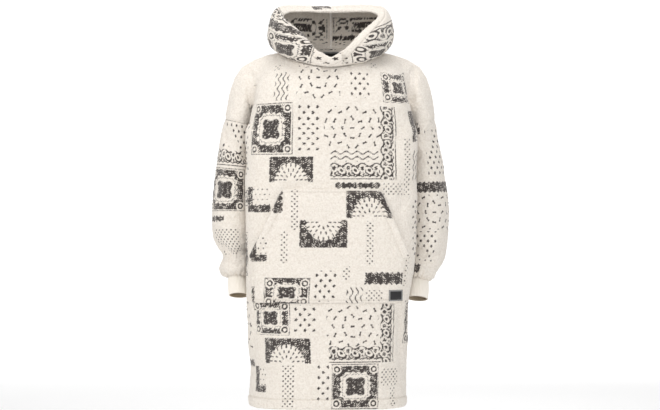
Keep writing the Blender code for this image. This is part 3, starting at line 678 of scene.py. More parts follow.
def hood_half(sign):
    """Outer cloth, round the face edge and back down as the lining, as one sheet."""
    first, last = -sign * HOOD_OVERLAP, sign * 180
    angles = np.linspace(first, last, HOOD_ANGLES)
    shares = np.linspace(0, 1, HOOD_SHARES)
    base = hood_surface(sign, angles, shares)
    across, up = np.gradient(base, axis=1), np.gradient(base, axis=0)
    normals = np.cross(across, up) * sign
    normals /= np.linalg.norm(normals, axis=2)[:, :, None]
    normals[:, -1, 0] = 0
    width = 2 * HOOD_CLOTH
    arc = np.concatenate([[0], np.cumsum(np.linalg.norm(np.diff(base[HOOD_SHARES // 2], axis=0), axis=1))])
    rise = np.concatenate([np.zeros((1, HOOD_ANGLES)),
                           np.cumsum(np.linalg.norm(np.diff(base, axis=0), axis=2), axis=0)])
    total = rise[-1]
    tangent = up / np.linalg.norm(up, axis=2)[:, :, None]
    layers = [(base[r], rise[r], normals[r]) for r in range(HOOD_SHARES)]
    for k in range(1, RIM_STEPS):
        turn = pi * k / RIM_STEPS
        place = (base[-1] - normals[-1] * width / 2 * (1 - cos(turn))
                 + tangent[-1] * width * 0.42 * sin(turn))
        layers.append((place, total + width * 0.75 * k, normals[-1] * cos(turn) + tangent[-1] * sin(turn)))
    for r in range(HOOD_SHARES - 1, -1, -2):
        layers.append((base[r] - normals[r] * width, total + HOOD_RIM_RUN + (total - rise[r]), -normals[r]))
    place, height, out = layers[-1]
    layers.append((place - np.array([0, 0, LINING_TUCK]), height + LINING_TUCK, out))
    rows = len(layers)
    points, vv, out = (np.array(each) for each in zip(*layers))
    points, vv, out = points.reshape(-1, 3), vv.ravel(), out.reshape(-1, 3)
    uu, totals = np.tile(sign * arc, rows), np.tile(total, rows)
    band = bump(totals - vv - 0.024, 0.0022) * (vv < total[0] + 10)
    move = pile(points, 1.5)
    move -= 0.0022 * band
    move -= 0.0030 * bump(vv, 0.005)
    move -= 0.0022 * bump(np.tile(arc[-1] - arc, rows), 0.004)
    points = points + out * move[:, None]
    points[HOOD_ANGLES - 1::HOOD_ANGLES, 0] = sign * 0.0002
    faces = grid_faces(rows, HOOD_ANGLES)
    if sign < 0:
        faces = faces[:, ::-1]
    inside = (vv > totals + 0.005).astype(float)
    return points, faces, uu, vv, inside, totals, band


# cuffs, labels and small pieces
CUFF_AROUND, CUFF_ROWS, CUFF_RIBS = 360, 22, 45
CUFF_CLOTH = 0.003


def cuff_mesh(sign):
    """A ribbed band, down outside and back up inside."""
    end = SLEEVES[sign][-1]
    turn = np.linspace(0, 2 * pi, CUFF_AROUND, endpoint=False)
    points, ups = [], []
    for side in (0, 1):
        for r in range(CUFF_ROWS + 1)[::-1 if side else 1]:
            share = r / CUFF_ROWS
            rib = 0.0009 * np.cos(turn * CUFF_RIBS) * (1 - 2 * side)
            bulge = 0.0012 * sin(pi * share) - 0.0015 * (1 - share) ** 8
            swell = 1 + 0.05 * share
            lean = end.lean + (CUFF_END_LEAN - end.lean) * share
            half = (end.outer - end.inner) / 2 * swell - CUFF_CLOTH * side + rib + bulge
            deep = end.half_depth * swell - CUFF_CLOTH * side + rib + bulge
            across, ahead = half * np.sin(turn), -deep * np.cos(turn)
            x = (end.outer + end.inner) / 2 + across - 0.004 * share
            y = end.y + ahead - CUFF_FORWARD * share
            z = end.height + 0.001 - (CUFF_LENGTH + 0.001) * share + end.slope * across - lean * ahead
            points.append(np.stack([sign * x, y, z], axis=1))
            ups.append(np.full(CUFF_AROUND, share + 2 * side))
    here = np.arange(CUFF_AROUND)
    ahead = (here + 1) % CUFF_AROUND
    quad = np.column_stack([CUFF_AROUND + here, CUFF_AROUND + ahead, ahead, here])
    faces = np.vstack([quad + row * CUFF_AROUND for row in range(len(points) - 1)])
    if sign < 0:
        faces = faces[:, ::-1]
    return np.vstack(points), faces, np.concatenate(ups)


# finishes
def nodes_of(name):
    made = bpy.data.materials.new(name)
    made.use_nodes = True
    tree = made.node_tree
    return made, tree, tree.nodes["Principled BSDF"]


def math(tree, operation, a, b=None, clamp=False):
    node = tree.nodes.new("ShaderNodeMath")
    node.operation = operation
    node.use_clamp = clamp
    for k, value in enumerate((a, b)):
        if value is None:
            continue
        if isinstance(value, (int, float)):
            node.inputs[k].default_value = value
        else:
            tree.links.new(value, node.inputs[k])
    return node.outputs[0]


def blend(tree, share, first, second):
    node = tree.nodes.new("ShaderNodeMix")
    node.data_type = "RGBA"
    for k, value in ((0, share), (6, first), (7, second)):
        if isinstance(value, (tuple, float, int)):
            node.inputs[k].default_value = (*value, 1) if isinstance(value, tuple) else value
        else:
            tree.links.new(value, node.inputs[k])
    return node.outputs[2]


def noise(tree, scale, detail=2.0, vector=None, roughness=0.5):
    node = tree.nodes.new("ShaderNodeTexNoise")
    node.inputs["Scale"].default_value = scale
    node.inputs["Detail"].default_value = detail
    node.inputs["Roughness"].default_value = roughness
    if vector is None:
        vector = tree.nodes.new("ShaderNodeTexCoord").outputs["Object"]
    tree.links.new(vector, node.inputs["Vector"])
    return node.outputs["Fac"]


def ramp(tree, value, start, slope, clamp=True):
    """How far value stands above start, times slope, held from 0 to 1 when clamp is set."""
    return math(tree, "MULTIPLY", math(tree, "SUBTRACT", value, start), slope, clamp=clamp)


def dress(tree, shader, colour, values, relief=None):
    """Sets the shader's colour and values, and its bump from a relief of (height, strength, distance)."""
    tree.links.new(colour, shader.inputs["Base Color"])
    for name, value in values.items():
        shader.inputs[name].default_value = value
    if relief:
        node = tree.nodes.new("ShaderNodeBump")
        node.inputs["Strength"].default_value = relief[1]
        node.inputs["Distance"].default_value = relief[2]
        tree.links.new(relief[0], node.inputs["Height"])
        tree.links.new(node.outputs["Normal"], shader.inputs["Normal"])


def attribute(tree, name):
    node = tree.nodes.new("ShaderNodeAttribute")
    node.attribute_name = name
    return node.outputs["Fac"]


CREAM, CREAM_DEEP, CREAM_WARM = (0.845, 0.79, 0.72), (0.69, 0.62, 0.54), (0.78, 0.725, 0.66)
THREAD = (0.60, 0.54, 0.46)
INK, INK_PALE = (0.036, 0.030, 0.028), (0.15, 0.125, 0.115)


def fleece_finish():
    """Cream plush, dark where the ink attribute says, with edges ragged by the pile."""
    made, tree, shader = nodes_of("printed_plush_fleece")
    clump = noise(tree, 210.0, 3.0)
    fine = noise(tree, 620.0, 2.0)
    broad = noise(tree, 16.0, 2.0)
    ink = attribute(tree, "ink")
    stitch = attribute(tree, "stitch")
    ragged = math(tree, "ADD", ramp(tree, clump, 0.5, 1.05, clamp=False),
                  ramp(tree, fine, 0.5, 0.95, clamp=False))
    printed = ramp(tree, math(tree, "ADD", ink, ragged), 0.34, 2.2)
    cream = blend(tree, ramp(tree, 0.62, clump, 2.2), CREAM, CREAM_DEEP)
    cream = blend(tree, ramp(tree, broad, 0.45, 0.35), cream, CREAM_WARM)
    dark = blend(tree, ramp(tree, fine, 0.47, 2.4), INK, INK_PALE)
    colour = blend(tree, printed, cream, dark)
    colour = blend(tree, math(tree, "MULTIPLY", stitch, 0.35, clamp=True), colour, THREAD)
    values = {"Roughness": 0.95, "Sheen Weight": 0.35, "Sheen Roughness": 0.55,
              "Sheen Tint": (1.0, 0.97, 0.93, 1), "Specular IOR Level": 0.15}
    height = math(tree, "ADD", clump, math(tree, "MULTIPLY", fine, 0.5))
    dress(tree, shader, colour, values, (height, 0.9, 0.0034))
    return made


def rib_finish():
    made, tree, shader = nodes_of("cream_rib_knit")
    fine = noise(tree, 900.0, 2.0)
    outer = blend(tree, math(tree, "MULTIPLY", fine, 0.35), (0.86, 0.815, 0.745), (0.76, 0.70, 0.62))
    # The band's inner face is painted dark tan: painted shade inside the cuff's opening, not a colour of
    # the knit.
    colour = blend(tree, attribute(tree, "inside"), outer, (0.50, 0.41, 0.30))
    values = {"Roughness": 0.9, "Sheen Weight": 0.2, "Specular IOR Level": 0.2}
    dress(tree, shader, colour, values, (fine, 0.4, 0.0006))
    return made


def label_finish():
    made, tree, shader = nodes_of("black_woven_label")
    fine = noise(tree, 1400.0, 1.0)
    dark = blend(tree, math(tree, "MULTIPLY", fine, 0.6), (0.008, 0.008, 0.009), (0.03, 0.03, 0.032))
    colour = blend(tree, attribute(tree, "line"), dark, (0.62, 0.62, 0.60))
    dress(tree, shader, colour, {"Roughness": 0.55, "Specular IOR Level": 0.4})
    return made


# the pieces
def seated(piece, nodes):
    """Joins a piece to the frame."""
    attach(piece, "root")
    if nodes:
        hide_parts(*nodes)
    return piece


def body_pieces(cloth, fleece):
    """The four panels. Returns each one's shaped points, normals, faces and print coordinates."""
    fine = subdivided(cloth)
    fine = (*fine, normals_of(fine[0], fine[1]))
    made = {}
    for name in PANELS:
        panel = panel_of(fine, name)
        _, normals, faces, flat, _ = panel
        points, stitch = shaped(name, panel)
        made[name] = (points, normals, faces, flat)
        values = {"ink": print_on(name, flat), "stitch": stitch}
        body = name.startswith("body")
        if body:
            points, faces, source = turned_edge(
                points, normals, faces, lambda mid: mid[:, 2] < HEM_Z + 0.004, 0.0085, 0.022)
            values = {key: np.concatenate([value, value[source] * 0]) for key, value in values.items()}
        piece = seated(mesh_piece(name + "_cloth", points, faces, values, fleece), [name])
        inner = coarse_inside(cloth, name, fleece)
    return made


def coarse_inside(cloth, name, fleece):
    """The inner side of a panel, at the density of the coarse cloth."""
    points = np.array(cloth.points)
    faces = np.array([face for face, panel in zip(cloth.faces, cloth.panels) if PANELS[panel] == name])
    normals = normals_of(points, np.array(cloth.faces))
    used, index = np.unique(faces, return_inverse=True)
    inner = points[used] - normals[used] * (FLEECE + 0.001)
    if name.startswith("body"):
        inner[:, 2] = np.maximum(inner[:, 2], HEM_Z + 0.012)
    values = {"ink": np.zeros(len(used)), "stitch": np.zeros(len(used))}
    piece = mesh_piece(name + "_inside", inner, index.reshape(-1, 4)[:, ::-1], values, fleece)
    return seated(piece, [])


def outline_distance(outline, x, z):
    """Distance inside a convex outline: positive inside."""
    gaps = []
    for (x0, z0), (x1, z1) in zip(outline, outline[1:] + outline[:1]):
        dx, dz = x1 - x0, z1 - z0
        gaps.append((dx * (z - z0) - dz * (x - x0)) / np.hypot(dx, dz))
    return np.min(gaps, axis=0)


def cut_to(points, faces, values, outline, limit):
    """The part of a sheet inside a convex outline of (x, height), with its edge points on the outline."""
    inside = outline_distance(outline, points[:, 0], points[:, 2])
    near = (inside > -0.006) & (points[:, 1] < limit)
    faces = faces[near[faces].all(1)]
    used, index = np.unique(faces, return_inverse=True)
    shaped_mesh = bmesh.new()
    layers = [shaped_mesh.verts.layers.float.new(str(k)) for k in range(values.shape[1])]
    corners = []
    for place, value in zip(points[used], values[used]):
        vert = shaped_mesh.verts.new(tuple(map(float, place)))
        for layer, number in zip(layers, value):
            vert[layer] = float(number)
        corners.append(vert)
    for face in index.reshape(-1, 4):
        shaped_mesh.faces.new([corners[k] for k in face])
    for (x0, z0), (x1, z1) in zip(outline, outline[1:] + outline[:1]):
        everything = shaped_mesh.verts[:] + shaped_mesh.edges[:] + shaped_mesh.faces[:]
        away = Vector((z1 - z0, 0, x0 - x1)).normalized()
        bmesh.ops.bisect_plane(shaped_mesh, geom=everything, dist=0.0005,
                               plane_co=(x0, 0, z0), plane_no=away, clear_outer=True)
    bmesh.ops.triangulate(shaped_mesh, faces=shaped_mesh.faces[:])
    shaped_mesh.verts.index_update()
    found = np.array([[*v.co, *[v[layer] for layer in layers]] for v in shaped_mesh.verts])
    made = np.array([[v.index for v in face.verts] for face in shaped_mesh.faces])
    shaped_mesh.free()
    return found[:, :3], made, found[:, 3:]


def line_distance(a, b, x, z):
    dx, dz = b[0] - a[0], b[1] - a[1]
    return np.abs(dx * (z - a[1]) - dz * (x - a[0])) / np.hypot(dx, dz)


MOUTH_LOW, MOUTH_HIGH, MOUTH_OUT = -0.53, -0.35, 0.13  # where the slanted sides are open
POCKET_STITCH, MOUTH_STITCH = 0.009, 0.021  # stitching in from the pocket's edge
FRONT_ONLY = -0.05  # the pocket is cut from the cloth ahead of this Y


def pocket_piece(front, fleece):
    """The pocket, cut from the front panel's own surface and raised. Returns its points and normals."""
    points, normals, faces, flat = front
    values = np.column_stack([normals, flat])
    outline = list(POCKET[::-1])
    base, faces, values = cut_to(points, faces, values, outline, FRONT_ONLY)
    normals = values[:, :3] / np.linalg.norm(values[:, :3], axis=1)[:, None]
    x, z = base[:, 0], base[:, 2]
    edge = outline_distance(outline, x, z)
    bottom = z - POCKET[0][1]
    slant = np.minimum(line_distance(POCKET[2], POCKET[4], x, z),
                       line_distance(POCKET[7], POCKET[9], x, z))
    at_mouth = (z > MOUTH_LOW) & (z < MOUTH_HIGH) & (np.abs(x) > MOUTH_OUT)
    mouth = np.where(at_mouth, bump(slant, 0.020), 0)
    rolled = np.sqrt(np.clip(1 - (1 - np.clip(edge / 0.006, 0, 1)) ** 2, 0, 1))
    lift = 0.0004 + 0.0068 * rolled + 0.0060 * mouth * rolled
    seam_line = np.where(mouth > 0.05, np.abs(edge - MOUTH_STITCH), np.abs(edge - POCKET_STITCH))
    lift -= 0.0026 * bump(seam_line, 0.0024)
    lift += 0.0022 * bump(x + 0.02, 0.10) * smooth(0, 0.06, bottom) * smooth(0, 0.06, edge)
    moved = base + normals * lift[:, None]
    values = {"ink": print_on("pocket", values[:, 3:]), "stitch": bump(seam_line, 0.0011)}
    piece = seated(mesh_piece("pocket_cloth", moved, faces, values, fleece), ["pocket"])
    return moved, normals


def hood_pieces(fleece):
    for sign, half in HALVES:
        name = "hood_" + half
        points, faces, uu, vv, inside, total, band = hood_half(sign)
        ink = print_hood(sign, uu, vv, total, inside)
        values = {"ink": ink, "stitch": band * 0.6}
        piece = seated(mesh_piece(name + "_cloth", points, faces, values, fleece),
                       [name, "hood_lining_" + half])


def cuff_pieces(rib):
    for sign, half in HALVES:
        points, faces, share = cuff_mesh(sign)
        # inside is 1 on the band's inner face, which the rib finish paints dark tan as painted shade.
        values = {"inside": smooth(0.97, 1.25, share)}
        piece = mesh_piece("cuff_" + half + "_rib", points, faces, values, rib)
        seated(piece, ["cuff_" + half])


def label_piece(node, middle, size, sheet_at, black, parts):
    """A woven label with a pale frame line, on the surface that sheet_at(x, z) gives as (place, normal)."""
    wide, tall = size
    rows = max(8, int(parts * tall / wide))
    grid_x, grid_z = np.meshgrid(np.linspace(-0.5, 0.5, parts), np.linspace(-0.5, 0.5, rows))
    place, normal = sheet_at(middle[0] + grid_x.ravel() * wide, middle[1] + grid_z.ravel() * tall)
    gap_x = (0.5 - np.abs(grid_x)) * wide
    gap_z = (0.5 - np.abs(grid_z)) * tall
    edge = np.minimum(gap_x, gap_z).ravel()
    line = bump(edge - 0.0022, 0.0007) if tall > 0.015 else 0 * edge
    lift = 0.0003 + 0.0009 * np.sqrt(np.clip(edge / 0.0008, 0, 1))
    points = place + normal * lift[:, None]
    piece = mesh_piece(node + "_woven", points, grid_faces(rows, parts), {"line": line}, black)
    seated(piece, [node])


def nearest_on(points, normals, limit):
    """A lookup of place and normal by (x, z) on a sheet, smoothed over its nearest points."""
    keep = limit(points)
    own, out = points[keep], normals[keep]

    def at(x, z):
        places, found = [], []
        for a, b in zip(x, z):
            gap = (own[:, 0] - a) ** 2 + (own[:, 2] - b) ** 2
            near = np.argsort(gap)[:12]
            weight = 1 / (gap[near] + 1e-6)
            weight /= weight.sum()
            centre = (own[near] * weight[:, None]).sum(0)
            normal = (out[near] * weight[:, None]).sum(0)
            normal /= np.linalg.norm(normal)
            y = centre[1] - ((a - centre[0]) * normal[0] + (b - centre[2]) * normal[2]) / normal[1]
            places.append((a, y, b))
            found.append(normal)
        return np.array(places), np.array(found)

    return at


SWEEP_REACH, SWEEP_BACK, SWEEP_BEND = 40.0, 11.0, 9.0  # how far out, where the bend starts and its radius
BEND_STEPS = 24
FLOOR_DROP = 0.30  # the garment hangs this far above the floor
AT_GARMENT, AT_WALL = (0, 0, -0.4), (0, 19, 0)
# Each lamp: its name, place, size, power and colour, and where it is aimed.
LAMPS = (
    ("key", (-2.6, -2.7, 2.0), 1.3, 54, (1.0, 0.985, 0.96), AT_GARMENT),
    ("fill", (2.6, -3.2, 0.4), 3.0, 14, (0.97, 0.98, 1.0), AT_GARMENT),
    ("front", (0.3, -4.2, 0.5), 1.6, 34, (1.0, 1.0, 1.0), AT_GARMENT),
    ("top", (0.0, -0.4, 2.6), 1.6, 34, (1.0, 1.0, 1.0), AT_GARMENT),
    ("back", (0.4, 2.8, 1.2), 2.5, 22, (1.0, 1.0, 1.0), AT_GARMENT),
    ("wall", (0.0, 7.0, 7.0), 9.0, 900, (1.0, 1.0, 1.0), AT_WALL),
)


def studio():
    """A pale floor that curves up into a wall far behind, and six soft lamps."""
    floor = bpy.data.meshes.new("floor")
    level = HEM_Z - FLOOR_DROP
    profile = [(-SWEEP_REACH, level), (SWEEP_BACK, level)]
    for k in range(1, BEND_STEPS + 1):
        turn = pi / 2 * k / BEND_STEPS
        profile.append((SWEEP_BACK + SWEEP_BEND * sin(turn), level + SWEEP_BEND * (1 - cos(turn))))
    profile.append((SWEEP_BACK + SWEEP_BEND, SWEEP_REACH))
    corners = [(x, y, z) for y, z in profile for x in (-SWEEP_REACH, SWEEP_REACH)]
    strips = [(2 * k, 2 * k + 1, 2 * k + 3, 2 * k + 2) for k in range(len(profile) - 1)]
    floor.from_pydata(corners, [], strips)
    floor.polygons.foreach_set("use_smooth", [True] * len(floor.polygons))
    made, _, shader = nodes_of("studio_floor")
    shader.inputs["Base Color"].default_value = (0.97, 0.97, 0.97, 1)
    shader.inputs["Roughness"].default_value = 0.9
    floor.materials.append(made)
    obj = bpy.data.objects.new("studio_floor", floor)
    bpy.context.scene.collection.objects.link(obj)
    for name, place, size, power, colour, aim in LAMPS:
        light = bpy.data.lights.new(name, "AREA")
        light.size = size
        light.energy = power
        light.color = colour
        lamp = bpy.data.objects.new(name, light)
        lamp.location = place
        lamp.rotation_euler = (Vector(aim) - Vector(place)).to_track_quat("-Z", "Y").to_euler()
        bpy.context.scene.collection.objects.link(lamp)
    world = bpy.data.worlds.new("studio")
    world.use_nodes = True
    sky = world.node_tree.nodes["Background"]
    sky.inputs["Color"].default_value = (1.0, 1.0, 1.0, 1)
    sky.inputs["Strength"].default_value = 0.60
    bpy.context.scene.world = world
    bpy.context.scene.view_settings.view_transform = "Standard"


PIXEL = 0.0028  # metres to a pixel of the photograph
PHOTO_WIDTH = 660
SENSOR = 36.0
CAMERA_AWAY = 6.0
PIXELS_AT = 0.1  # PIXEL holds this far in front of the origin
PHOTO_MIDDLE = (-0.0028, -0.3834)  # x and height of the photograph's middle


def camera():
    """The photograph's view: straight on, with the garment in the same place in the picture."""
    lens = bpy.data.cameras.new("photo")
    lens.sensor_width = SENSOR
    lens.lens = SENSOR * (CAMERA_AWAY - PIXELS_AT) / (PHOTO_WIDTH * PIXEL)
    lens.clip_end = 200
    obj = bpy.data.objects.new("photo", lens)
    obj.location = (PHOTO_MIDDLE[0], -CAMERA_AWAY, PHOTO_MIDDLE[1])
    obj.rotation_euler = (pi / 2, 0, 0)
    bpy.context.scene.collection.objects.link(obj)
    bpy.context.scene.camera = obj


PRINT_MIDDLE = 331  # the print unit on the middle line of the front
NECK_LINE = 68.0  # print units down to the neck seam



def blocks(**kinds):
    """Rows of a patchwork: the kind of each block, and its left, top, right and bottom in print units."""
    return [(kind, *place) for kind, places in kinds.items() for place in places]


BODY_PRINT = blocks(
    medallion=[(247, 103, 293, 155), (252, 300, 294, 334), (334, 362, 382, 407), (384, 69, 425, 103),
               (203, 232, 243, 276), (186, 82, 232, 128), (415, 300, 455, 344)],
    arch=[(269, 157, 313, 182), (266, 337, 314, 362), (416, 110, 456, 142)],
    stars=[(297, 105, 320, 152), (297, 304, 320, 333), (320, 362, 332, 400), (351, 70, 370, 99),
           (224, 120, 242, 175), (416, 200, 436, 255)],
    rings=[(324, 107, 380, 149), (330, 305, 382, 345), (296, 57, 340, 100), (204, 300, 246, 350)],
    paisley_right=[(380, 107, 397, 180), (384, 303, 400, 361)],
    paisley_bottom=[(330, 163, 380, 180), (332, 345, 384, 361), (203, 190, 243, 206)],
    waves=[(271, 70, 287, 101), (330, 150, 378, 162), (416, 150, 446, 180)],
    dots=[(266, 57, 275, 66), (374, 59, 382, 65), (405, 139, 413, 195), (383, 183, 404, 195),
          (285, 364, 297, 405), (396, 385, 402, 405), (384, 367, 407, 385)],
    bar=[(335, 182, 380, 189), (203, 360, 244, 368)],
    corner=[(248, 366, 266, 392), (243, 187, 270, 212)],
)
POCKET_PRINT = blocks(
    cup=[(300, 220, 347, 247)],
    arch=[(346, 191, 391, 218)],
    dots=[(291, 188, 299, 230), (281, 231, 289, 263), (365, 221, 374, 265), (343, 266, 352, 280),
          (368, 289, 385, 300), (406, 250, 413, 285)],
    corner=[(250, 235, 268, 261)],
    bar=[(273, 190, 284, 213), (366, 271, 404, 284), (252, 286, 257, 302)],
    medallion=[(267, 277, 313, 306)],
    waves=[(349, 286, 365, 302)],
    stars=[(317, 270, 338, 300)],
)
RIGHT_SLEEVE_PRINT = blocks(
    medallion=[(196, 78, 243, 122), (194, 168, 246, 212)],
    stars=[(210, 122, 250, 149)],
    paisley_bottom=[(192, 150, 252, 166)],
    dots=[(206, 230, 240, 258)],
    bar=[(196, 216, 222, 223)],
)
LEFT_SLEEVE_PRINT = blocks(
    paisley_right=[(436, 74, 468, 112)],
    corner=[(414, 116, 424, 133)],
    stars=[(432, 128, 468, 176), (410, 233, 440, 264)],
    bar=[(412, 181, 468, 193), (410, 267, 424, 277)],
    rings=[(408, 195, 464, 231)],
)
# Each sleeve: its blocks, the print unit at its front middle, which way they run, and its far side's shift.
SLEEVE_PRINTS = {
    "sleeve_right": (RIGHT_SLEEVE_PRINT, 232, -1, (300, 42)),
    "sleeve_left": (LEFT_SLEEVE_PRINT, 430, 1, (380, 117)),
}
SLEEVE_FRONT = 40  # print units from there to the outer fold
BACK_SHIFT = (61, 94)
HOOD_AROUND = 100
# The hood's blocks run around from the throat, 0, to the back seam, 100. They go up from the neck seam.
HOOD_PRINT_RIGHT = blocks(
    stars=[(0, 4, 16, 46)],
    medallion=[(16, 3, 50, 34), (51, 4, 98, 34)],
    bar=[(16, 35, 60, 46)],
    paisley_bottom=[(14, 47, 100, 63)],
)
HOOD_PRINT_LEFT = blocks(
    dots=[(3, 3, 14, 36)],
    medallion=[(16, 3, 48, 25)],
    paisley_bottom=[(12, 27, 76, 43)],
    stars=[(51, 4, 72, 25)],
    paisley_right=[(78, 4, 94, 44)],
)
ROOF_PRINT = blocks(corner=[(86, 2, 100, 13)])  # down from the face edge, on the outside
# Inside, a block's top is this much less the distance up from the neck seam.
LINING_TOP = 77
LINING_PRINT_RIGHT = blocks(
    stars=[(8, 10, 34, 50)],
    waves=[(36, 14, 56, 44), (71, 54, 98, 59)],
    dots=[(60, 27, 70, 44)],
    medallion=[(71, 27, 98, 53)],
)
LINING_PRINT_LEFT = blocks(
    stars=[(8, 10, 34, 50)],
    dots=[(38, 14, 56, 44), (90, 57, 99, 62)],
    medallion=[(64, 26, 99, 46)],
    bar=[(72, 48, 99, 56)],
)
TILE_LEFT, TILE_TOP, TILE_WIDTH, TILE_HEIGHT = 243, 57, 172, 250
TILE = [row for row in BODY_PRINT if row[4] < 215 and TILE_LEFT <= row[1] < 416]
TILE += [row for row in POCKET_PRINT if row[2] > 219]


def between(low, high, value, soft=0.6):
    """1 from low to high, with soft edges."""
    return smooth(low - soft, low + soft, value) * (1 - smooth(high - soft, high + soft, value))


def spots(x, y, pitch_x, pitch_y, size, points=0.0):
    """A staggered lattice of round spots, or of stars when points is set."""
    row = np.round(y / pitch_y)
    shifted = x / pitch_x + 0.5 * np.mod(row, 2)
    across, down = (shifted - np.round(shifted)) * pitch_x, y - row * pitch_y
    turn = np.arctan2(down, across)
    reach = size * (1 + points * np.cos(5 * turn))
    return 1 - smooth(-0.6, 0.6, np.hypot(across, down) - reach)


def flecks(x, y):
    """Small leafy gaps of cream in a dark ground."""
    wave = np.sin(1.75 * x + 2.1 * np.sin(0.85 * y)) * np.sin(1.6 * y + 2.1 * np.sin(1.05 * x))
    return smooth(0.18, 0.75, wave)


def medallion(x, y, wide, tall):
    """A flower in a ring, framed by leafy dark cloth with a ringlet in each corner."""
    square = ((np.abs(x) / wide) ** 4 + (np.abs(y) / tall) ** 4) ** 0.25
    turn = np.arctan2(y / tall, x / wide)
    outline = np.maximum(np.abs(x) / wide, np.abs(y) / tall)
    line = between(0.95, 1.0, outline, 0.02)
    leaf = 0.035 * np.cos(16 * turn)
    band = smooth(0.595, 0.645, square + leaf) * (1 - smooth(0.90, 0.94, outline))
    band *= 1 - 0.72 * flecks(x, y)
    for side in (-1, 1):
        for level in (-1, 1):
            away = np.hypot(x - side * (wide - 5.5), y - level * (tall - 5.5))
            band = np.maximum(band * smooth(4.0, 5.0, away), between(1.6, 3.2, away, 0.4))
    blob = 1 - smooth(-0.05, 0.05, np.hypot(x / wide, y / tall) - 0.43 * (1 + 0.20 * np.cos(4 * turn + pi)))
    blob *= 1 - 0.55 * flecks(1.3 * x + 2, 1.3 * y)
    ring = between(0.515, 0.565, square + 0.02 * np.cos(24 * turn), 0.02) * 0.7
    return np.maximum.reduce([line * 0.8, band, blob, ring])


def arch(x, y, wide, tall):
    """Dark over the top and down both sides, with radial dashes in a half-round field."""
    away = np.hypot(x / wide, (y - tall) / (2 * tall))
    dark = between(0.74 + 0.02 * np.cos(26 * np.arctan2(y - tall, x)), 2.0, away, 0.03)
    dark *= between(-0.5, 2 * wide, wide - np.abs(x), 0.5)
    dark *= 1 - 0.72 * flecks(x, y)
    radius = np.hypot(x, (y - tall) * wide / (2 * tall))
    turn = np.arctan2(tall - y, x)
    dashes = 0 * x
    for reach, count in ((0.28, 5), (0.48, 8), (0.67, 11)):
        step = pi / count
        gap = (turn / step - np.floor(turn / step) - 0.5) * step * reach * wide
        dash = between(-0.7, 0.7, gap, 0.5) * between(-1.5, 1.5, radius - reach * wide, 0.5)
        dashes = np.maximum(dashes, dash)
    return np.maximum(dark, dashes)


def rings(x, y, wide, tall):
    """Bow-tie dashes in circles about one in the middle."""
    radius, turn = np.hypot(x, y), np.arctan2(y, x)
    found = between(-2.2, 2.2, x, 0.5) * between(-0.9, 0.9, y, 0.5)
    for reach, count in ((10.5, 8), (19.5, 14), (27.5, 20)):
        step = 2 * pi / count
        index = np.round(turn / step)
        along, outward = (turn / step - index) * step * reach, radius - reach
        lean = 0.95 * np.sin(2.7 * index + reach)
        length = along * np.cos(lean) + outward * np.sin(lean)
        across = outward * np.cos(lean) - along * np.sin(lean)
        thick = 0.60 + 0.30 * np.abs(length)
        dash = between(-2.3, 2.3, length, 0.4) * (1 - smooth(-0.5, 0.5, np.abs(across) - thick))
        found = np.maximum(found, dash)
    return found


def paisley(along, depth):
    """A strip 16 deep: a line, a scalloped line, ringed teardrops and an arced inner edge."""
    line = between(0.2, 1.3, depth, 0.4)
    scallop = between(-0.65, 0.65, depth - 3.0 - 1.3 * np.abs(np.sin(along * pi / 7)), 0.4)
    step = along / 14 - np.round(along / 14)
    across = step * 14 + (depth - 9.5) * 0.35
    drop = np.hypot(across * (1 + 0.06 * (depth - 9)), (depth - 9.5) * 0.95)
    rounds = np.maximum(between(3.4, 4.9, drop, 0.4), between(0.0, 1.7, drop, 0.5))
    curl = between(2.2, 3.6, np.hypot(np.abs(step * 14) - 7, depth - 11.5), 0.4)
    edge = between(-0.8, 0.8, depth - 15.0 + 1.6 * np.cos(along * 2 * pi / 14), 0.4)
    ground = between(4.5, 14.5, depth, 0.6) * smooth(5.4, 6.2, drop) * 0.9
    filled = np.maximum(rounds, ground * (1 - 0.5 * flecks(along, depth)))
    return np.maximum.reduce([line, scallop, filled * (1 - 0.7 * curl), edge])


def bar(x, y, wide, tall):
    """A dark strip with scalloped sides."""
    long_way, short_way = (x, np.abs(y) - tall) if wide > tall else (y, np.abs(x) - wide)
    dark = 1 - smooth(-0.6, 0.6, short_way + 0.8 + 0.8 * np.cos(long_way * 2 * pi / 5.5))
    return dark * (1 - 0.65 * flecks(x, y))


def waves(x, y, wide, tall):
    along, across = (x, y) if wide > tall else (y, x)
    line = np.mod(across + 1.4 * np.sin(along * 2 * pi / 11), 5.2)
    return between(1.6, 3.0, line, 0.45)


def corner(x, y, wide, tall):
    """An L of dark cloth with cream specks, and dots in the angle."""
    dark = np.maximum(1 - smooth(-0.6, 0.6, x + wide - 7), 1 - smooth(-0.6, 0.6, tall - y - 7))
    return np.maximum(dark * (1 - 0.7 * flecks(x, y)), (1 - dark) * spots(x, y, 5.0, 5.0, 0.9))


MOTIFS = {
    "medallion": medallion,
    "arch": arch,
    "cup": lambda x, y, wide, tall: arch(x, -y, wide, tall),
    "rings": rings,
    "bar": bar,
    "waves": waves,
    "corner": corner,
    "stars": lambda x, y, wide, tall: spots(x, y, 9.0, 5.25, 1.55, 0.28),
    "dots": lambda x, y, wide, tall: spots(x, y, 5.0, 2.5, 0.95),
    "paisley_right": lambda x, y, wide, tall: paisley(y, wide - x),
    "paisley_bottom": lambda x, y, wide, tall: paisley(x, tall - y),
}


def patchwork(rows, x, y):
    """The darkest ink of any block at each place, faded out at the block's edges."""
    ink = np.zeros(len(x))
    for kind, left, top, right, bottom in rows:
        wide, tall = (right - left) / 2, (bottom - top) / 2
        across, down = x - (left + right) / 2, y - (top + bottom) / 2
        near = (np.abs(across) < wide + 1) & (np.abs(down) < tall + 1)
        if near.any():
            own = MOTIFS[kind](across[near], down[near], wide, tall)
            for gap in (np.abs(across[near]) - wide, np.abs(down[near]) - tall):
                own = own * (1 - smooth(-0.5, 0.8, gap))
            ink[near] = np.maximum(ink[near], own)
    return ink


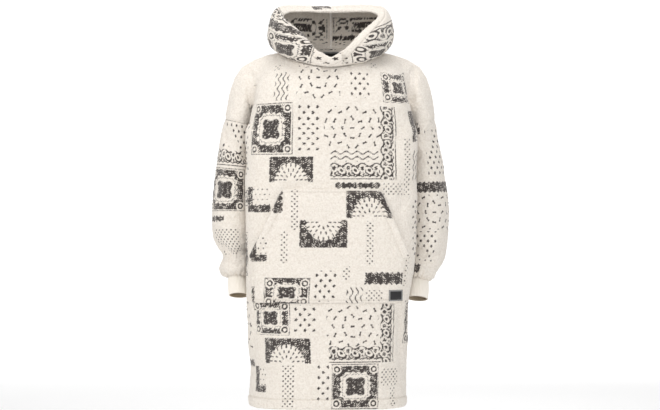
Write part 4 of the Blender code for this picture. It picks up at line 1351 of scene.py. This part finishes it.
def tiled(x, y):
    """The front's blocks, repeated over any cloth."""
    return patchwork(TILE, TILE_LEFT + np.mod(x - TILE_LEFT, TILE_WIDTH),
                     TILE_TOP + np.mod(y - TILE_TOP, TILE_HEIGHT))


def print_on(name, flat):
    """The ink of a cut piece at its flat places."""
    around, y = flat[:, 0] / PIXEL, NECK_LINE - flat[:, 1] / PIXEL
    x = PRINT_MIDDLE + around
    if name == "pocket":
        return patchwork(POCKET_PRINT, x, y)
    if name == "body_front":
        return patchwork(BODY_PRINT, x, y)
    if name == "body_back":
        return tiled(x + BACK_SHIFT[0], y + BACK_SHIFT[1])
    own, middle, way, shift = SLEEVE_PRINTS[name]
    front = 1 - smooth(SLEEVE_FRONT, SLEEVE_FRONT + 1, np.abs(around))
    own = patchwork(own, middle + way * around, y)
    return np.maximum(own * front, tiled(around + shift[0], y + shift[1]) * (1 - front))


def print_hood(sign, uu, vv, total, inside):
    """The ink of a hood half, by the distance around uu and the distance up vv, out of total."""
    outside, lining = HOOD_PRINT_LEFT, LINING_PRINT_LEFT
    if sign < 0:
        outside, lining = HOOD_PRINT_RIGHT, LINING_PRINT_RIGHT
    around = HOOD_AROUND * np.abs(uu) / np.abs(uu).max()
    outer = patchwork(outside, around, vv / PIXEL)
    if sign > 0:
        outer = outer * smooth(0.020, 0.024, np.abs(total - vv))
    else:
        outer = np.maximum(outer, patchwork(ROOF_PRINT, around, (total - vv) / PIXEL))
    up = (2 * total + HOOD_RIM_RUN - vv) / PIXEL
    return np.where(inside > 0.5, patchwork(lining, around, LINING_TOP - up), outer)


# Each label: the x and height of its middle, its width and height, and the points across it.
LABELS = {
    "pocket_label": ((0.1800, -0.6350), (0.0390, 0.0310), 48),
    "neck_label": ((0.0, 0.0500), (0.0440, 0.0200), 48),
    "size_tab": ((0.0, 0.0340), (0.0190, 0.0110), 16),
}
LABEL_CLEAR = 0.0030  # the neck labels stand this far in front of the panel's inner side


def main():
    fleece, rib, black = fleece_finish(), rib_finish(), label_finish()
    cloth = build_cloth()
    panels = body_pieces(cloth, fleece)
    on_pocket = nearest_on(*pocket_piece(panels["body_front"], fleece),
                           lambda p: (p[:, 0] > 0.14) & (p[:, 2] < -0.60))
    hood_pieces(fleece)
    cuff_pieces(rib)
    points, normals = panels["body_back"][:2]
    on_back = nearest_on(points - normals * (FLEECE + LABEL_CLEAR), -normals,
                         lambda p: (np.abs(p[:, 0]) < 0.04) & (p[:, 2] > 0.01))
    for name, (middle, size, parts) in LABELS.items():
        label_piece(name, middle, size, on_pocket if name == "pocket_label" else on_back, black, parts)
    studio()
    camera()


main()
